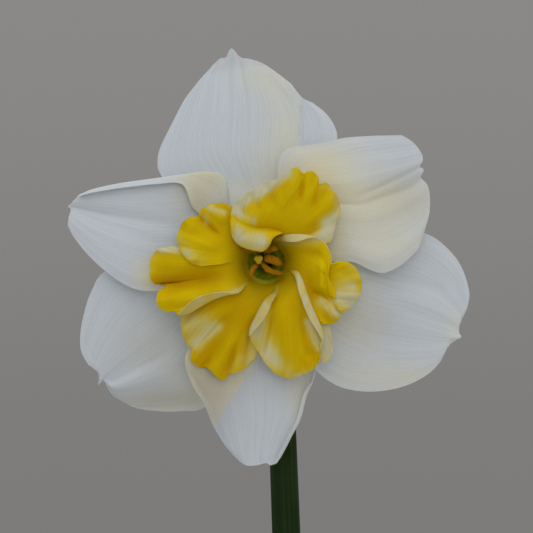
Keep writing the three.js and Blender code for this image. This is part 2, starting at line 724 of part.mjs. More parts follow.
function leafSurface({ place, length, width, lean, bend, turn, twist }) {
  const away = Math.sign(place);
  const fan = point(Math.cos(FAN_ANGLE), Math.sin(FAN_ANGLE), 0);
  const foot = point(BULB.x, BULB.y, BULB.socketFloor + SEAT_GAP).addScaledVector(fan, place);
  const samples = 48;
  const track = [{ place: foot.clone(), tilt: 0, heading: fan.clone() }];
  for (let i = 1; i <= samples; i++) {
    const t = i / samples;
    const free = ease(0.06, 0.3, t);
    const tilt = (lean * free + bend * Math.max(0, t - 0.1) ** 1.7) * away;
    const heading = fan.clone().applyAxisAngle(point(0, 0, 1), turn * free);
    const step = heading.clone().multiplyScalar(Math.sin(tilt)).add(point(0, 0, Math.cos(tilt)));
    const before = track[i - 1].place;
    track.push({ place: before.clone().addScaledVector(step, length / samples), tilt, heading });
  }
  const curve = new THREE.CatmullRomCurve3(track.map((t) => t.place));
  return (u, w) => {
    const along3 = curve.getTangent(u);
    const { heading } = track[Math.round(u * samples)];
    const level = point(0, 0, 1).cross(heading).normalize();
    const face = level.clone().cross(along3).normalize();
    const spin = twist * ease(0.15, 1, u);
    const across = level.clone().multiplyScalar(Math.cos(spin)).addScaledVector(face, Math.sin(spin));
    const normal = along3.clone().cross(across).normalize();
    const half = (width / 2) * mix(0.86, 1, ease(0, 0.25, u)) * mix(1, 0.2, ease(0.62, 1, u) ** 1.5);
    const side = 2 * w - 1;
    const rise = LEAF.channel * (1 - 0.6 * u) * ease(0.03, 0.2, u) * side * side * -away;
    return curve.getPoint(u).addScaledVector(across, half * side).addScaledVector(normal, rise);
  };
}

function leaf(spec, index) {
  const thicknessAt = (u, w) => {
    const middle = mix(LEAF.thickness, LEAF.tipThickness, u);
    return mix(middle, 0.75, ease(0, 1, Math.abs(2 * w - 1)) * ease(0.02, 0.12, u) * 0.8);
  };
  const rows = steps(LEAF.rows).map((t) => 1 - (1 - t) ** 1.1);
  const blade = sheet(leafSurface(spec), rows, steps(LEAF.columns), thicknessAt);
  return piece(`leaf_${index + 1}`, "leaf", blade);
}

const NECK = { length: 16, width: 9.7, squareness: 0.35 };

// Bulb: height, half length along the fan, half width across it, and squareness of the ring.
const BULB_RINGS = [
  [36, 5, 5, 0],
  [38, 10, 9.5, 0],
  [44, 17.5, 16, 0],
  [54, 22, 20, 0],
  [65, 21.5, 18.5, 0],
  [76, 18.5, 14.5, 0.1],
  [86, 16.8, 11.5, 0.25],
  [95, 16.2, 10, 0.35],
  [BULB.neckTop, NECK.length, NECK.width, NECK.squareness],
];
const SOCKET_WALL = 1.6;

function ovalRing(height, length, width, squareness, grow = 0) {
  const fan = point(Math.cos(FAN_ANGLE), Math.sin(FAN_ANGLE), 0);
  const radii = [length + grow, width + grow];
  return ringAround(point(BULB.x, BULB.y, height), point(0, 0, 1), fan, radii, 20, squareness);
}

function bulbSkin(grow) {
  const rings = BULB_RINGS.map(([...ring]) => ovalRing(...ring, grow));
  if (grow) {
    rings.unshift(ovalRing(BULB_RINGS[0][0] - grow, 4, 4, 0, grow));
    rings.push(ovalRing(BULB.neckTop + 20, NECK.length, NECK.width, NECK.squareness, grow));
  }
  return toSolid(skin(rings));
}

function bulb() {
  const ends = [BULB.socketFloor, BULB.neckTop + 5];
  const socket = skin(
    ends.map((z) => ovalRing(z, NECK.length, NECK.width, NECK.squareness, -SOCKET_WALL)),
  );
  return piece("bulb", "tunic", fromSolid(bulbSkin(0).subtract(toSolid(socket))));
}

// Pot and soil.

function drainHole(index) {
  const turn = (2 * Math.PI * (index + 0.25)) / DRAIN.count;
  const hole = new THREE.CylinderGeometry(DRAIN.radius, DRAIN.radius, POT.base * 4, 10);
  hole.rotateX(Math.PI / 2);
  hole.translate(DRAIN.ring * Math.cos(turn), DRAIN.ring * Math.sin(turn), 0);
  return toSolid(hole);
}

const SHOULDER = POT.height - POT.rimHeight;
const INSIDE_TOP = { radius: POT.rimRadius - POT.rimStep - POT.wall + 1.5, height: POT.height - 2 };

// Radius of the pot's outer face below its rim band, and of its inside.
const outerRadius = (z) => mix(POT.footRadius, POT.rimRadius - POT.rimStep, z / SHOULDER);
const floorRadius = outerRadius(POT.base) - POT.wall;

function innerRadius(z) {
  return mix(floorRadius, INSIDE_TOP.radius, (z - POT.base) / (INSIDE_TOP.height - POT.base));
}

function pot() {
  const { height, rimRadius, footRadius, base } = POT;
  const profile = [
    [0, 0],
    [footRadius - 1.5, 0],
    [footRadius, 1.5],
    [outerRadius(SHOULDER), SHOULDER],
    [rimRadius - 0.8, SHOULDER + 0.6],
    [rimRadius, height - 2],
    [rimRadius - 2, height],
    [INSIDE_TOP.radius + 1.5, height],
    [INSIDE_TOP.radius, INSIDE_TOP.height],
    [floorRadius, base],
    [0, base],
  ];
  const body = toSolid(turned(profile, 40).rotateX(Math.PI / 2));
  const holes = steps(DRAIN.count).slice(1).map((_, i) => drainHole(i));
  return piece("pot", "clay", fromSolid(holes.reduce((whole, hole) => whole.subtract(hole), body)));
}

// Height of the soil's crumbly top at a place.
function soilHeight(x, y) {
  const lumps = Math.sin(x * 0.31 + 1.3) * Math.cos(y * 0.27) + 0.6 * Math.sin(x * 0.67 - y * 0.53);
  const mound = 2.5 * Math.exp(-((x - BULB.x) ** 2 + (y - BULB.y) ** 2) / 700);
  return SOIL_TOP + 0.9 * lumps + mound;
}

function soil() {
  const sectors = 36;
  const ring = (r, heightAt) =>
    steps(sectors).slice(0, -1).map((t) => {
      const [x, y] = [r * Math.cos(2 * Math.PI * t), r * Math.sin(2 * Math.PI * t)];
      return point(x, y, heightAt(x, y));
    });
  const floor = POT.base + SEAT_GAP;
  const edgeTop = innerRadius(SOIL_TOP - 2) - SEAT_GAP * 1.6;
  const rings = [ring(8, () => floor), ring(innerRadius(floor) - SEAT_GAP * 1.6, () => floor)];
  for (const share of [1, 0.9, 0.78, 0.64, 0.5, 0.36, 0.2]) {
    const drop = 1.4 * ease(0.85, 1, share);
    rings.push(ring(edgeTop * share, (x, y) => soilHeight(x, y) - drop));
  }
  return piece("soil", "soil", fromSolid(toSolid(skin(rings)).subtract(bulbSkin(SEAT_GAP * 1.4))));
}

const bloom = new THREE.Group();
bloom.position.set(BLOOM.x, BLOOM.y, BLOOM.z);
bloom.add(perianth(), corona(), floralTube(), style(), stamens(), ovary(), spathe());

const plant = new THREE.Group();
plant.add(pot(), soil(), bulb(), scape(), ...LEAVES.map(leaf), bloom);

export default plant;
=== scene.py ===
# %% [markdown]
# # A potted papillon daffodil
# This lesson dresses a plain model of a daffodil in its pot. The bloom is the hard part: six white
# tepals and a split corona whose ruffled lobes are yellow with white and cream margins.
# The plain model, called the frame, gives every piece's place and size. Here each of its solids gets
# a finer piece that stands where it stands. Lengths below are in millimetres until a mesh is made.

# %% The frame
import math
import random

import bpy
import numpy as np
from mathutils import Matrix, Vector, noise


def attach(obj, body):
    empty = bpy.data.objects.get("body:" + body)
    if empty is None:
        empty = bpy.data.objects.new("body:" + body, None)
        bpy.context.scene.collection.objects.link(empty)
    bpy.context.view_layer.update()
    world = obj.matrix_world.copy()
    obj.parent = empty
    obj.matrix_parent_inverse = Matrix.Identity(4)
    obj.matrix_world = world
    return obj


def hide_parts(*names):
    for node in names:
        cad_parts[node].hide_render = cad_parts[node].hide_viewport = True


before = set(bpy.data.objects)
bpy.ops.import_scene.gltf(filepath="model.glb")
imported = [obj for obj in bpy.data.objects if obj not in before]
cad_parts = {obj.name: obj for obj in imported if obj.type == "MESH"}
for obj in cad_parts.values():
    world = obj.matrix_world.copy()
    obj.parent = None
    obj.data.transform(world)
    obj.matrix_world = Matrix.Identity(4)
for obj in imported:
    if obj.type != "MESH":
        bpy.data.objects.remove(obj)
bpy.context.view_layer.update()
print("solids in the frame:", len(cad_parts))

# %% [markdown]
# ## The camera
# The photograph looks straight at the bloom from its own height. The bloom is 93 mm across and takes
# 402 of the picture's 533 pixels, so each pixel is 0.23 mm wide at the throat. A long lens from 0.7 m
# away keeps the petals' proportions, as a portrait lens does. The throat isn't quite in the middle of
# the picture, so the camera stands aside by the few pixels between them.

# %% Camera
MM = 0.001
PICTURE = 533  # pixels, each way
PX = 93 / 402
THROAT_PX = (266, 262)  # where the bloom's axis passes on the picture
BLOOM = np.array([-4.0, -40.0, 385.0])  # the throat
DISTANCE = 700
SENSOR = 36


def in_scene(name, data):
    """A new object in the scene."""
    made = bpy.data.objects.new(name, data)
    bpy.context.scene.collection.objects.link(made)
    return made


aside = PX * (PICTURE / 2 - THROAT_PX[0])
below = PX * (PICTURE / 2 - THROAT_PX[1])
camera = in_scene("camera", bpy.data.cameras.new("camera"))
camera.data.sensor_width = SENSOR
camera.data.lens = SENSOR * DISTANCE / (PICTURE * PX)
camera.data.clip_start = 0.01
camera.location = Vector(BLOOM + (aside, -DISTANCE, -below)) * MM
camera.rotation_euler = (math.radians(90), 0, 0)
bpy.context.scene.camera = camera
bpy.context.scene.view_settings.view_transform = "Standard"
print("lens:", round(camera.data.lens, 1), "mm")

# %% [markdown]
# ## Short calls for finishes
# A finish is a tree of nodes. Written out in full, each node takes several lines, so one helper makes
# a node and wires it in one call, and short names stand for the kinds that are used most. A socket is
# given either a value or another node's output, which also tells in which tree the new node belongs.


# %% Node helpers
def add(tree, kind, values=None, **settings):
    """A new node, with its settings, and with a value or a link in each named socket."""
    made = tree.nodes.new(kind)
    for name, value in settings.items():
        setattr(made, name, value)
    for name, value in (values or {}).items():
        if isinstance(value, bpy.types.NodeSocket):
            tree.links.new(value, made.inputs[name])
        else:
            made.inputs[name].default_value = value
    return made


def blend(share, first, second, kind="MIX"):
    """The colour between two colours at a share."""
    first, second = (c if isinstance(c, bpy.types.NodeSocket) else (*c, 1) for c in (first, second))
    values = {0: share, 6: first, 7: second}
    return add(share.id_data, "ShaderNodeMix", values, data_type="RGBA", blend_type=kind).outputs[2]


def reckon(operation, first, second, clamp=False):
    """One step of arithmetic."""
    values = {0: first, 1: second}
    return add(first.id_data, "ShaderNodeMath", values, operation=operation, use_clamp=clamp).outputs[0]


def times(first, second, clamp=False):
    return reckon("MULTIPLY", first, second, clamp)


def plus(first, second):
    return reckon("ADD", first, second)


def spread(value, low, high, to_low=0.0, to_high=1.0):
    """A value taken smoothly from one range to another."""
    values = {"Value": value, "From Min": low, "From Max": high, "To Min": to_low, "To Max": to_high}
    return add(value.id_data, "ShaderNodeMapRange", values, interpolation_type="SMOOTHSTEP").outputs[0]


print("colours can be mixed, and values worked out")

# %% [markdown]
# ## Patterns on a surface
# A pattern is noise read at a place. Squeezed across a petal and drawn out along it, the same noise
# turns from blotches into veins. A place can be the piece's own or lines that its mesh carries.


# %% Patterns
def speckle(place, size, detail=3.0, roughness=0.5):
    """Soft noise with features of a size, in the place's own unit."""
    values = {"Vector": place, "Scale": 1 / size, "Detail": detail, "Roughness": roughness}
    return add(place.id_data, "ShaderNodeTexNoise", values).outputs["Fac"]


def stretched(place, x, y, z=1.0):
    """A place squeezed along some axes and drawn out along others, so that noise on it makes lines."""
    return add(place.id_data, "ShaderNodeMapping", {"Vector": place, "Scale": (x, y, z)}).outputs[0]


def own_place(tree):
    """Each point's own place on the piece, in metres."""
    return add(tree, "ShaderNodeTexCoord").outputs["Object"]


def height_of(place):
    return add(place.id_data, "ShaderNodeSeparateXYZ", {0: place}).outputs["Z"]


def tint(tree, name):
    """A tint painted on the mesh by a formula, 0 to 1."""
    return add(tree, "ShaderNodeAttribute", attribute_name=name).outputs["Fac"]


print("patterns at hand: noise, lines and tints")

# %% [markdown]
# ## Starting and closing a finish
# Every finish here has Blender's main shader. It needs a roughness, a colour and, where the surface
# is uneven, a tilt. One call starts a finish, and another gives it its colour and tilt at the end.


# %% Finish helpers
def new_finish(name, roughness, specular=0.3, **sockets):
    """A plain finish and its node tree. Sockets of the main shader are named with _ for each space."""
    finish = bpy.data.materials.new(name)
    finish.use_nodes = True
    inputs = finish.node_tree.nodes["Principled BSDF"].inputs
    sockets = {"Roughness": roughness, "Specular IOR Level": specular, **sockets}
    for socket, value in sockets.items():
        inputs[socket.replace("_", " ")].default_value = value
    return finish, finish.node_tree


def dress(finish, colour, height=None, depth=0.0):
    """Gives a finish its colour, and a tilt from a height of 0 to 1 that is depth metres deep."""
    tree = finish.node_tree
    inputs = tree.nodes["Principled BSDF"].inputs
    tree.links.new(colour, inputs["Base Color"])
    if height is not None:
        bump = add(tree, "ShaderNodeBump", {"Height": height, "Distance": depth, "Strength": 1.0})
        tree.links.new(bump.outputs[0], inputs["Normal"])


print("finishes so far:", len(bpy.data.materials))

# %% [markdown]
# ## Short calls for shapes
# Every petal, leaf and sheath is a thin sheet over a grid of two shares: u runs from its foot to its
# tip, and w from one side to the other. Stems are rods with rings of points. These helpers turn such
# grids into closed meshes, with real thickness, that could be printed as they are.


# %% Shape helpers
TURN = 2 * math.pi  # a full turn, in radians


def turns(count):
    """Evenly spaced turns round a circle."""
    return np.linspace(0, TURN, count, endpoint=False)


def ease(a, b, t):
    """0 before a, 1 after b, and smooth between them."""
    s = np.clip((np.asarray(t, float) - a) / (b - a), 0, 1)
    return s * s * (3 - 2 * s)


def mix(a, b, t):
    return a + (b - a) * t


def along(values, t):
    """Places on a smooth curve through evenly spaced values."""
    values = np.asarray(values, float)
    last = len(values) - 1
    place = np.clip(np.asarray(t, float), 0, 1) * last
    i = np.minimum(place.astype(int), last - 1)
    s = place - i
    if values.ndim > 1:
        s = s[..., None]
    a, b, c, d = (values[np.clip(i + k, 0, last)] for k in (-1, 0, 1, 2))
    return b + 0.5 * s * (c - a + s * (2 * a - 5 * b + 4 * c - d + s * (3 * (b - c) + d - a)))


def lengths_of(points):
    """Share of a line's length at each of its points."""
    walked = np.concatenate([[0], np.cumsum(np.linalg.norm(np.diff(points, axis=0), axis=1))])
    return walked / walked[-1]


class Edge:
    """Smooth curve through points, walked at an even speed."""

    def __init__(self, points, fine=40):
        self.points = np.asarray(points, float)
        self.fine = fine
        self.ticks = np.linspace(0, 1, fine * (len(self.points) - 1) + 1)
        self.shares = lengths_of(along(self.points, self.ticks))

    def at(self, t):
        return along(self.points, np.interp(t, self.shares, self.ticks))

    def share_of(self, index):
        return self.shares[self.fine * index]


def unit(vectors):
    return vectors / np.maximum(np.linalg.norm(vectors, axis=-1, keepdims=True), 1e-9)


def grid_of(us, ws):
    return np.meshgrid(us, ws, indexing="ij")


print("a curve's middle:", along([0, 1, 4, 9], 0.5))

# %% [markdown]
# ## Meshes from grids
# A grid of points becomes a sheet with two faces and a rim, or a skin over a stack of rings. Both are
# closed, so that light and the export treat them as solid.


# %% Meshes
def sheet_mesh(middle, half):
    """Both faces and the rim of a thin sheet, from the grid of its middle and its half thickness."""
    rows, columns = middle.shape[:2]
    facing = unit(np.cross(np.gradient(middle, axis=0), np.gradient(middle, axis=1)))
    offset = facing * half[..., None]
    points = np.concatenate([(middle + offset).reshape(-1, 3), (middle - offset).reshape(-1, 3)])
    ids = np.arange(rows * columns).reshape(rows, columns)
    corners = [ids[:-1, :-1], ids[1:, :-1], ids[1:, 1:], ids[:-1, 1:]]
    front = np.stack(corners, axis=-1).reshape(-1, 4)
    other = rows * columns
    back = front[:, ::-1] + other
    border = np.concatenate([ids[0, :-1], ids[:-1, -1], ids[-1, :0:-1], ids[:0:-1, 0]])
    following = np.roll(border, -1)
    rim = np.stack([border, following, following + other, border + other], axis=-1)
    return points, np.concatenate([front, back, rim])


def ring_mesh(rings, looped=False):
    """A closed skin over a stack of rings of points, with a fan over each end unless the ends meet."""
    count = rings.shape[1]
    ids = np.arange(rings.shape[0] * count).reshape(-1, count)
    if looped:
        ids = np.concatenate([ids, ids[:1]])
    turned = np.roll(ids, -1, axis=1)
    walls = np.stack([ids[:-1], turned[:-1], turned[1:], ids[1:]], axis=-1).reshape(-1, 4)
    points = np.concatenate([rings.reshape(-1, 3), rings[[0, -1]].mean(axis=1)])
    hubs = len(points) - 2
    if looped:
        return points[:hubs], [tuple(f) for f in walls]
    caps = [(hubs, b, a) for a, b in zip(ids[0], turned[0])]
    caps += [(hubs + 1, a, b) for a, b in zip(ids[-1], turned[-1])]
    return points, [tuple(f) for f in walls] + [tuple(int(i) for i in f) for f in caps]


def rod_rings(path, radii, sides, rows, flat=1.0, swell=None):
    """Rings of points along a smooth path. swell(t, turn) scales each point's distance from it."""
    line = Edge(path)
    t = np.linspace(0, 1, rows)
    centres = line.at(t)
    tangent = unit(np.gradient(centres, axis=0))
    over = unit(np.cross(tangent, (1, 0, 0)))
    across = unit(np.cross(over, tangent))
    t, turn = grid_of(t, turns(sides))
    reach = along(radii, t) * (1 if swell is None else swell(t, turn))
    sideways = across[:, None] * (reach * np.cos(turn))[..., None]
    upward = over[:, None] * (reach * flat * np.sin(turn))[..., None]
    return centres[:, None] + sideways + upward, t, turn


def volume_of(points, faces):
    """Six times the volume inside a closed skin; below zero if its faces look inwards."""
    fans = [(f[0], f[k], f[k + 1]) for f in faces for k in range(1, len(f) - 1)]
    a, b, c = (points[[fan[k] for fan in fans]] for k in range(3))
    return (a * np.cross(b, c)).sum()


print("a rod's rings:", rod_rings([(0, 0, 0), (0, 0, 9)], [1, 1], 8, 4)[0].shape)

# %% [markdown]
# ## From a mesh to a piece
# A piece is a mesh with a finish, tints and a place in the frame. One call makes it, so that no piece
# can miss the solid that it stands for. Tints are numbers at the mesh's points.


# %% Pieces
def make_piece(name, points, faces, finish, nodes, tints=None, lines=None, sharp=55):
    """A mesh in the frame's place, in metres, that rides with the plant and stands for its nodes."""
    faces = [list(map(int, f)) for f in faces]
    if volume_of(points - points.mean(axis=0), faces) < 0:
        faces = [f[::-1] for f in faces]
    mesh = bpy.data.meshes.new(name)
    mesh.from_pydata((np.asarray(points) * MM).tolist(), [], faces)
    mesh.validate()
    for key, values in (tints or {}).items():
        if np.ndim(values) == 2:
            mesh.attributes.new(key, "FLOAT_VECTOR", "POINT").data.foreach_set("vector", np.ravel(values))
        else:
            mesh.attributes.new(key, "FLOAT", "POINT").data.foreach_set("value", values)
    if lines is not None:
        corners = np.empty(len(mesh.loops), int)
        mesh.loops.foreach_get("vertex_index", corners)
        mesh.uv_layers.new(name="lines").data.foreach_set("uv", lines[corners].ravel())
    mesh.polygons.foreach_set("use_smooth", np.ones(len(mesh.polygons), bool))
    mesh.set_sharp_from_angle(angle=math.radians(sharp))
    piece = in_scene(name, mesh)
    mesh.materials.append(finish)
    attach(piece, "root")
    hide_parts(*nodes)
    print(f"{name}: {sum(len(p.vertices) - 2 for p in mesh.polygons)} triangles")
    return piece


def sheet_piece(name, middle, half, finish, node, u, w, tints=None, at=0):
    """A piece made of a thin sheet, with its lines and tints the same on both faces."""
    points, faces = sheet_mesh(middle, half)
    tints = {key: np.tile(np.ravel(value), 2) for key, value in (tints or {}).items()}
    lines = np.tile(np.stack([w, u], axis=-1).reshape(-1, 2), (2, 1))
    return make_piece(name, points + at, faces, finish, [node], tints, lines)


def skin_piece(name, rings, finish, nodes, tints=None, sharp=55, looped=False):
    """A piece skinned over rings. Each end's hub takes the mean of its ring's tints."""
    points, faces = ring_mesh(rings, looped)
    whole = {}
    for key, values in (tints or {}).items():
        hubs = values[[0, -1]].mean(axis=1)[: len(points) - rings.shape[0] * rings.shape[1]]
        whole[key] = np.concatenate([values.reshape(-1, *values.shape[2:]), hubs])
    return make_piece(name, points, faces, finish, nodes, whole, sharp=sharp)


def round_lines(t, turn, slenderness):
    """A place on a rod as (cos, sin, length in radii), which streaks can follow with no seam."""
    return np.stack([np.cos(turn), np.sin(turn), t * slenderness], axis=-1)


print("a place on a rod:", round_lines(0.5, 0.0, 10))

# %% [markdown]
# ## Petal surfaces
# A petal seen from the front is an outline with a seat, two sides and a far end. Each edge was laid
# along the photograph as a few named points, and a surface is stretched between the four, so that its
# lengthwise lines run from the seat to the tip as a petal's veins do. Depth comes from a formula.


# %% Petal surfaces
POINT_FROM = 0.92  # share of the way along a petal where its small point begins to show


def on_bloom(points):
    """Millimetres across and up from the throat, from pixels on the picture."""
    return (np.asarray(points, float) - THROAT_PX) * (PX, -PX)


class Patch:
    """Surface between a seat, in millimetres, and three edges laid along the picture. The far edge's
    point, where it has one, shapes only the last part of the surface."""

    def __init__(self, seat, cw, end, ccw, point=None):
        seat, cw, end, ccw = np.asarray(seat, float), on_bloom(cw), on_bloom(end), on_bloom(ccw)
        self.sides = Edge([seat[0], *cw, end[0]]), Edge([seat[-1], *ccw, end[-1]])
        self.seat, self.end = Edge(seat), Edge(end)
        blunt = np.array(end)
        if point is not None:
            blunt[point] = (blunt[point - 1] + blunt[point + 1]) / 2
        self.blunt = Edge(blunt)
        self.corners = seat[0], seat[-1], end[0], end[-1]

    def at(self, u, w):
        u, w = np.broadcast_arrays(u, w)
        across = mix(self.sides[0].at(u), self.sides[1].at(u), w[..., None])
        far = mix(self.blunt.at(w), self.end.at(w), ease(POINT_FROM, 1, u)[..., None])
        outward = mix(self.seat.at(w), far, u[..., None])
        a, b, c, d = self.corners
        u, w = u[..., None], w[..., None]
        return across + outward - mix(mix(a, b, w), mix(c, d, w), u)


print("the throat lies at", np.abs(on_bloom(THROAT_PX)))

# %% [markdown]
# ## Rolled margins
# Some margins curl forward. Pulled by hand, a curl would spoil the outline. So the strip of sheet
# beside the margin is bent round a radius by a formula, and the outline stays where it was traced.

# %% Rolled margins
ROLL_COLUMNS = 20


def roll(side, lengths, radius, turn, start, stop, strip, opens=0.0, pale=0.85):
    """A margin that rolls forward on a radius and then lies flat: its lengths along the petal in mm,
    its turn or turns along it in radians, where along the petal it starts and stops, what share of
    the width it takes, how far it opens again, and how pale it is."""
    turns = turn if isinstance(turn, list) else [turn, turn]
    return dict(
        side=side, lengths=lengths, radius=radius, turn=turns, start=start, stop=stop, strip=strip,
        opens=opens, pale=pale,
    )


def bend_of(rolled, u, run):
    """How far a rolled strip lies outwards and forwards at a run along it, from 0 to 1."""
    opening = rolled["opens"] * ease(rolled["stop"] - 0.2, rolled["stop"], u)
    turn = along(rolled["turn"], u) * ease(rolled["start"], rolled["start"] + 0.2, u) * (1 - opening)
    turn = np.maximum(turn, 0.02)
    length, radius = np.maximum(along(rolled["lengths"], u), 0.3), rolled["radius"]

    def reached(run):
        bent = np.minimum(run * length / radius, turn)
        rest = np.maximum(run * length - turn * radius, 0)
        out = radius * np.sin(bent) + rest * np.cos(turn)
        return bent, out, radius * (1 - np.cos(bent)) + rest * np.sin(turn)

    bent, furthest, _ = reached(1)
    return *reached(run)[1:], np.where(bent > math.pi / 2, radius, furthest)


def petal_middle(patch, depth_at, rolls, u, w):
    """The middle of a petal's sheet, and its outline's places before the rolls lift off."""
    width = np.linalg.norm(patch.at(u, 0.0) - patch.at(u, 1.0), axis=-1)
    start, strip = {"cw": 0.0, "ccw": 0.0}, {"cw": 0.0, "ccw": 0.0}
    bends = []
    for rolled in rolls:
        side = rolled["side"]
        strip[side] = rolled["strip"]
        run = 1 - (w if side == "cw" else 1 - w) / rolled["strip"]
        out, forward, furthest = bend_of(rolled, u, np.maximum(run, 0))
        start[side] = furthest / width
        bends.append((side, out, forward))
    inner = np.clip((w - strip["cw"]) / (1 - strip["cw"] - strip["ccw"]), 0, 1)
    share = mix(start["cw"], 1 - start["ccw"], inner)
    flat = patch.at(u, share)
    middle = np.stack([flat[..., 0], depth_at(u, share, flat), flat[..., 1]], axis=-1)
    for side, out, forward in bends:
        rim, inward = (0.0, 0.06) if side == "cw" else (1.0, -0.06)
        outward = unit(patch.at(u, rim) - patch.at(u, share + inward))
        middle[..., 0] += outward[..., 0] * out
        middle[..., 1] -= forward
        middle[..., 2] += outward[..., 1] * out
    return middle, flat


def half_thickness(u, w, rim, body, steep=9):
    """Half a petal's thickness, which falls to the rim's at its sides and far end."""
    margin = np.minimum(np.minimum(w, 1 - w) * 6, (1 - u) * steep)
    return mix(rim, body, ease(0, 0.5, margin))


def columns_across(count, rolls, kept=()):
    """Shares across a petal, closer together in its rolled strips."""
    strips = {r["side"]: r["strip"] for r in rolls}
    low, high = strips.get("cw", 0), 1 - strips.get("ccw", 0)
    parts = [np.linspace(low, high, count), np.asarray(kept, float)]
    if low:
        parts.append(np.linspace(0, low, ROLL_COLUMNS))
    if high < 1:
        parts.append(np.linspace(high, 1, ROLL_COLUMNS))
    shares = np.unique(np.round(np.concatenate(parts), 4))
    return shares[np.concatenate([[True], np.diff(shares) > 0.0015])]


print("columns across a plain petal:", len(columns_across(10, [])))

# %% [markdown]
# ## Swellings, marks and folds
# What is left is soft: swellings, creases, folds and patches of colour. Each is a short list of
# marks, placed on the petal's own shares or on the picture, and smooth curves draw them.


# %% Swellings, marks and folds
def lumpy(x, y, seed):
    """Smooth noise from -1 to 1 over a plane, with features one unit wide."""
    table = np.random.default_rng(seed).uniform(-1, 1, (64, 64))
    x, y = np.broadcast_arrays(np.asarray(x, float), np.asarray(y, float))
    i, j = np.floor(x).astype(int), np.floor(y).astype(int)
    s, t = x - i, y - j
    s, t = s * s * (3 - 2 * s), t * t * (3 - 2 * t)
    value = [[table[(i + a) % 64, (j + b) % 64] for b in (0, 1)] for a in (0, 1)]
    return mix(mix(value[0][0], value[1][0], s), mix(value[0][1], value[1][1], s), t)


def swelling(swells, u, w):
    """Sum of soft swellings [u, w, spread in u, spread in w, lift towards the viewer]."""
    total = 0.0
    for u0, w0, su, sw, lift in swells:
        total = total + lift * np.exp(-(((u - u0) / su) ** 2) - ((w - w0) / sw) ** 2)
    return total


def spots(marks, flat):
    """Sum of soft marks [across, up, half width, half height, strength], in the picture's pixels."""
    total = np.zeros(flat.shape[:-1])
    for x, y, wide, high, strength in marks:
        centre = on_bloom((x, y))
        reach = (flat - centre) / (wide * PX, high * PX)
        total += strength * np.exp(-(reach**2).sum(axis=-1))
    return np.clip(total, 0, 1)


def left_of(line, flat):
    """How far places lie to the left of who walks along a line on the picture, in millimetres."""
    a, b = on_bloom(line[:2]), on_bloom(line[2:])
    across, upward = unit(b - a)
    return (flat - a) @ np.array([-upward, across])


def folded_back(folds, flat):
    """How far a sheet lies back beyond its folds. A fold is a line [x0, y0, x1, y1] on the picture, the
    slope of what lies to the left of who walks along it, its softness in pixels, and the furthest
    it goes back in millimetres."""
    total = 0.0
    for *line, slope, soft, most in folds:
        beyond = left_of(line, flat)
        back = slope * (beyond + np.sqrt(beyond**2 + (soft * PX) ** 2)) / 2
        total = total + most * (1 - np.exp(-back / most))
    return total


def past_lines(lines, flat):
    """Sum of tints that lie to the left of who walks along lines [x0, y0, x1, y1, softness, tint]."""
    total = 0.0
    for *line, soft, strength in lines:
        total = total + strength * ease(-soft * PX, soft * PX, left_of(line, flat))
    return total


def strokes(marks, flat, starts=0.0):
    """Sum of soft strokes [x0, y0, x1, y1, half width in pixels, strength] along lines of the picture.
    A stroke grows from its first end over the share starts of its length."""
    total = np.zeros(flat.shape[:-1])
    for x0, y0, x1, y1, wide, strength in marks:
        a, b = on_bloom((x0, y0)), on_bloom((x1, y1))
        share = np.clip((flat - a) @ (b - a) / ((b - a) ** 2).sum(), 0, 1)
        gap = np.linalg.norm(flat - a - share[..., None] * (b - a), axis=-1)
        grown = ease(0, starts, share) if starts else 1
        total += strength * grown * np.exp(-((gap / (wide * PX)) ** 2))
    return total


def sunk_in(valleys, flat):
    """How deep a sheet is along its valleys, in millimetres. A negative strength makes a ridge."""
    return strokes(valleys, flat, 0.5)


def seat_arc(radius, start, stop):
    turn = np.radians(np.linspace(start, stop, 5))
    return np.stack([np.cos(turn), np.sin(turn)], axis=-1) * radius


print("widest seat gap:", np.round(seat_arc(6.2, 0, 70)[-1], 2))

# %% [markdown]
# ## The white of a tepal
# A daffodil's tepal is thin, matt and a little see-through, with fine lengthwise veins and a cool
# white that turns to cream at its foot and where it folds. It could be one flat white, but then it
# looks like paper. Here noise squeezed across and drawn out along the petal gives the veins, both as
# faint colour and as faint ridges, and a painted tint says where the cream lies. That cream is made
# lighter than the tepal's own, and some of its spots paint light on flaps that face the light. A
# second tint paints shade where folds and flaps lie in shadow.

# %% Finish of the tepals
COOL_WHITE = (0.755, 0.79, 0.82)
# The cream is lighter than the tepals' own, as painted light on flaps that face the light.
LIGHTENED_CREAM = (0.86, 0.82, 0.635)
FOOT_YELLOW = (0.78, 0.66, 0.26)


def sheet_lines(tree):
    """A sheet's own lines, as (share across, share along)."""
    return add(tree, "ShaderNodeUVMap", uv_map="lines").outputs[0]


tepal_white, tree = new_finish(
    "tepal white", 0.55, 0.25, Subsurface_Weight=0.25, Subsurface_Radius=(0.9, 0.85, 0.7),
    Subsurface_Scale=0.0008,
)
lines, place = sheet_lines(tree), own_place(tree)
veins = speckle(stretched(lines, 110, 1.7), 1.0, 3, 0.6)
grain = speckle(place, 0.0004, 2)
wide_veins = speckle(stretched(lines, 14, 0.9), 1.0, 2)
clouds = speckle(place, 0.009, 2)
cream_and_painted_light = times(tint(tree, "cream"), spread(clouds, 0.2, 0.7, 0.8, 1.1), True)
base = blend(cream_and_painted_light, COOL_WHITE, LIGHTENED_CREAM)
base = blend(tint(tree, "yellow"), base, FOOT_YELLOW)
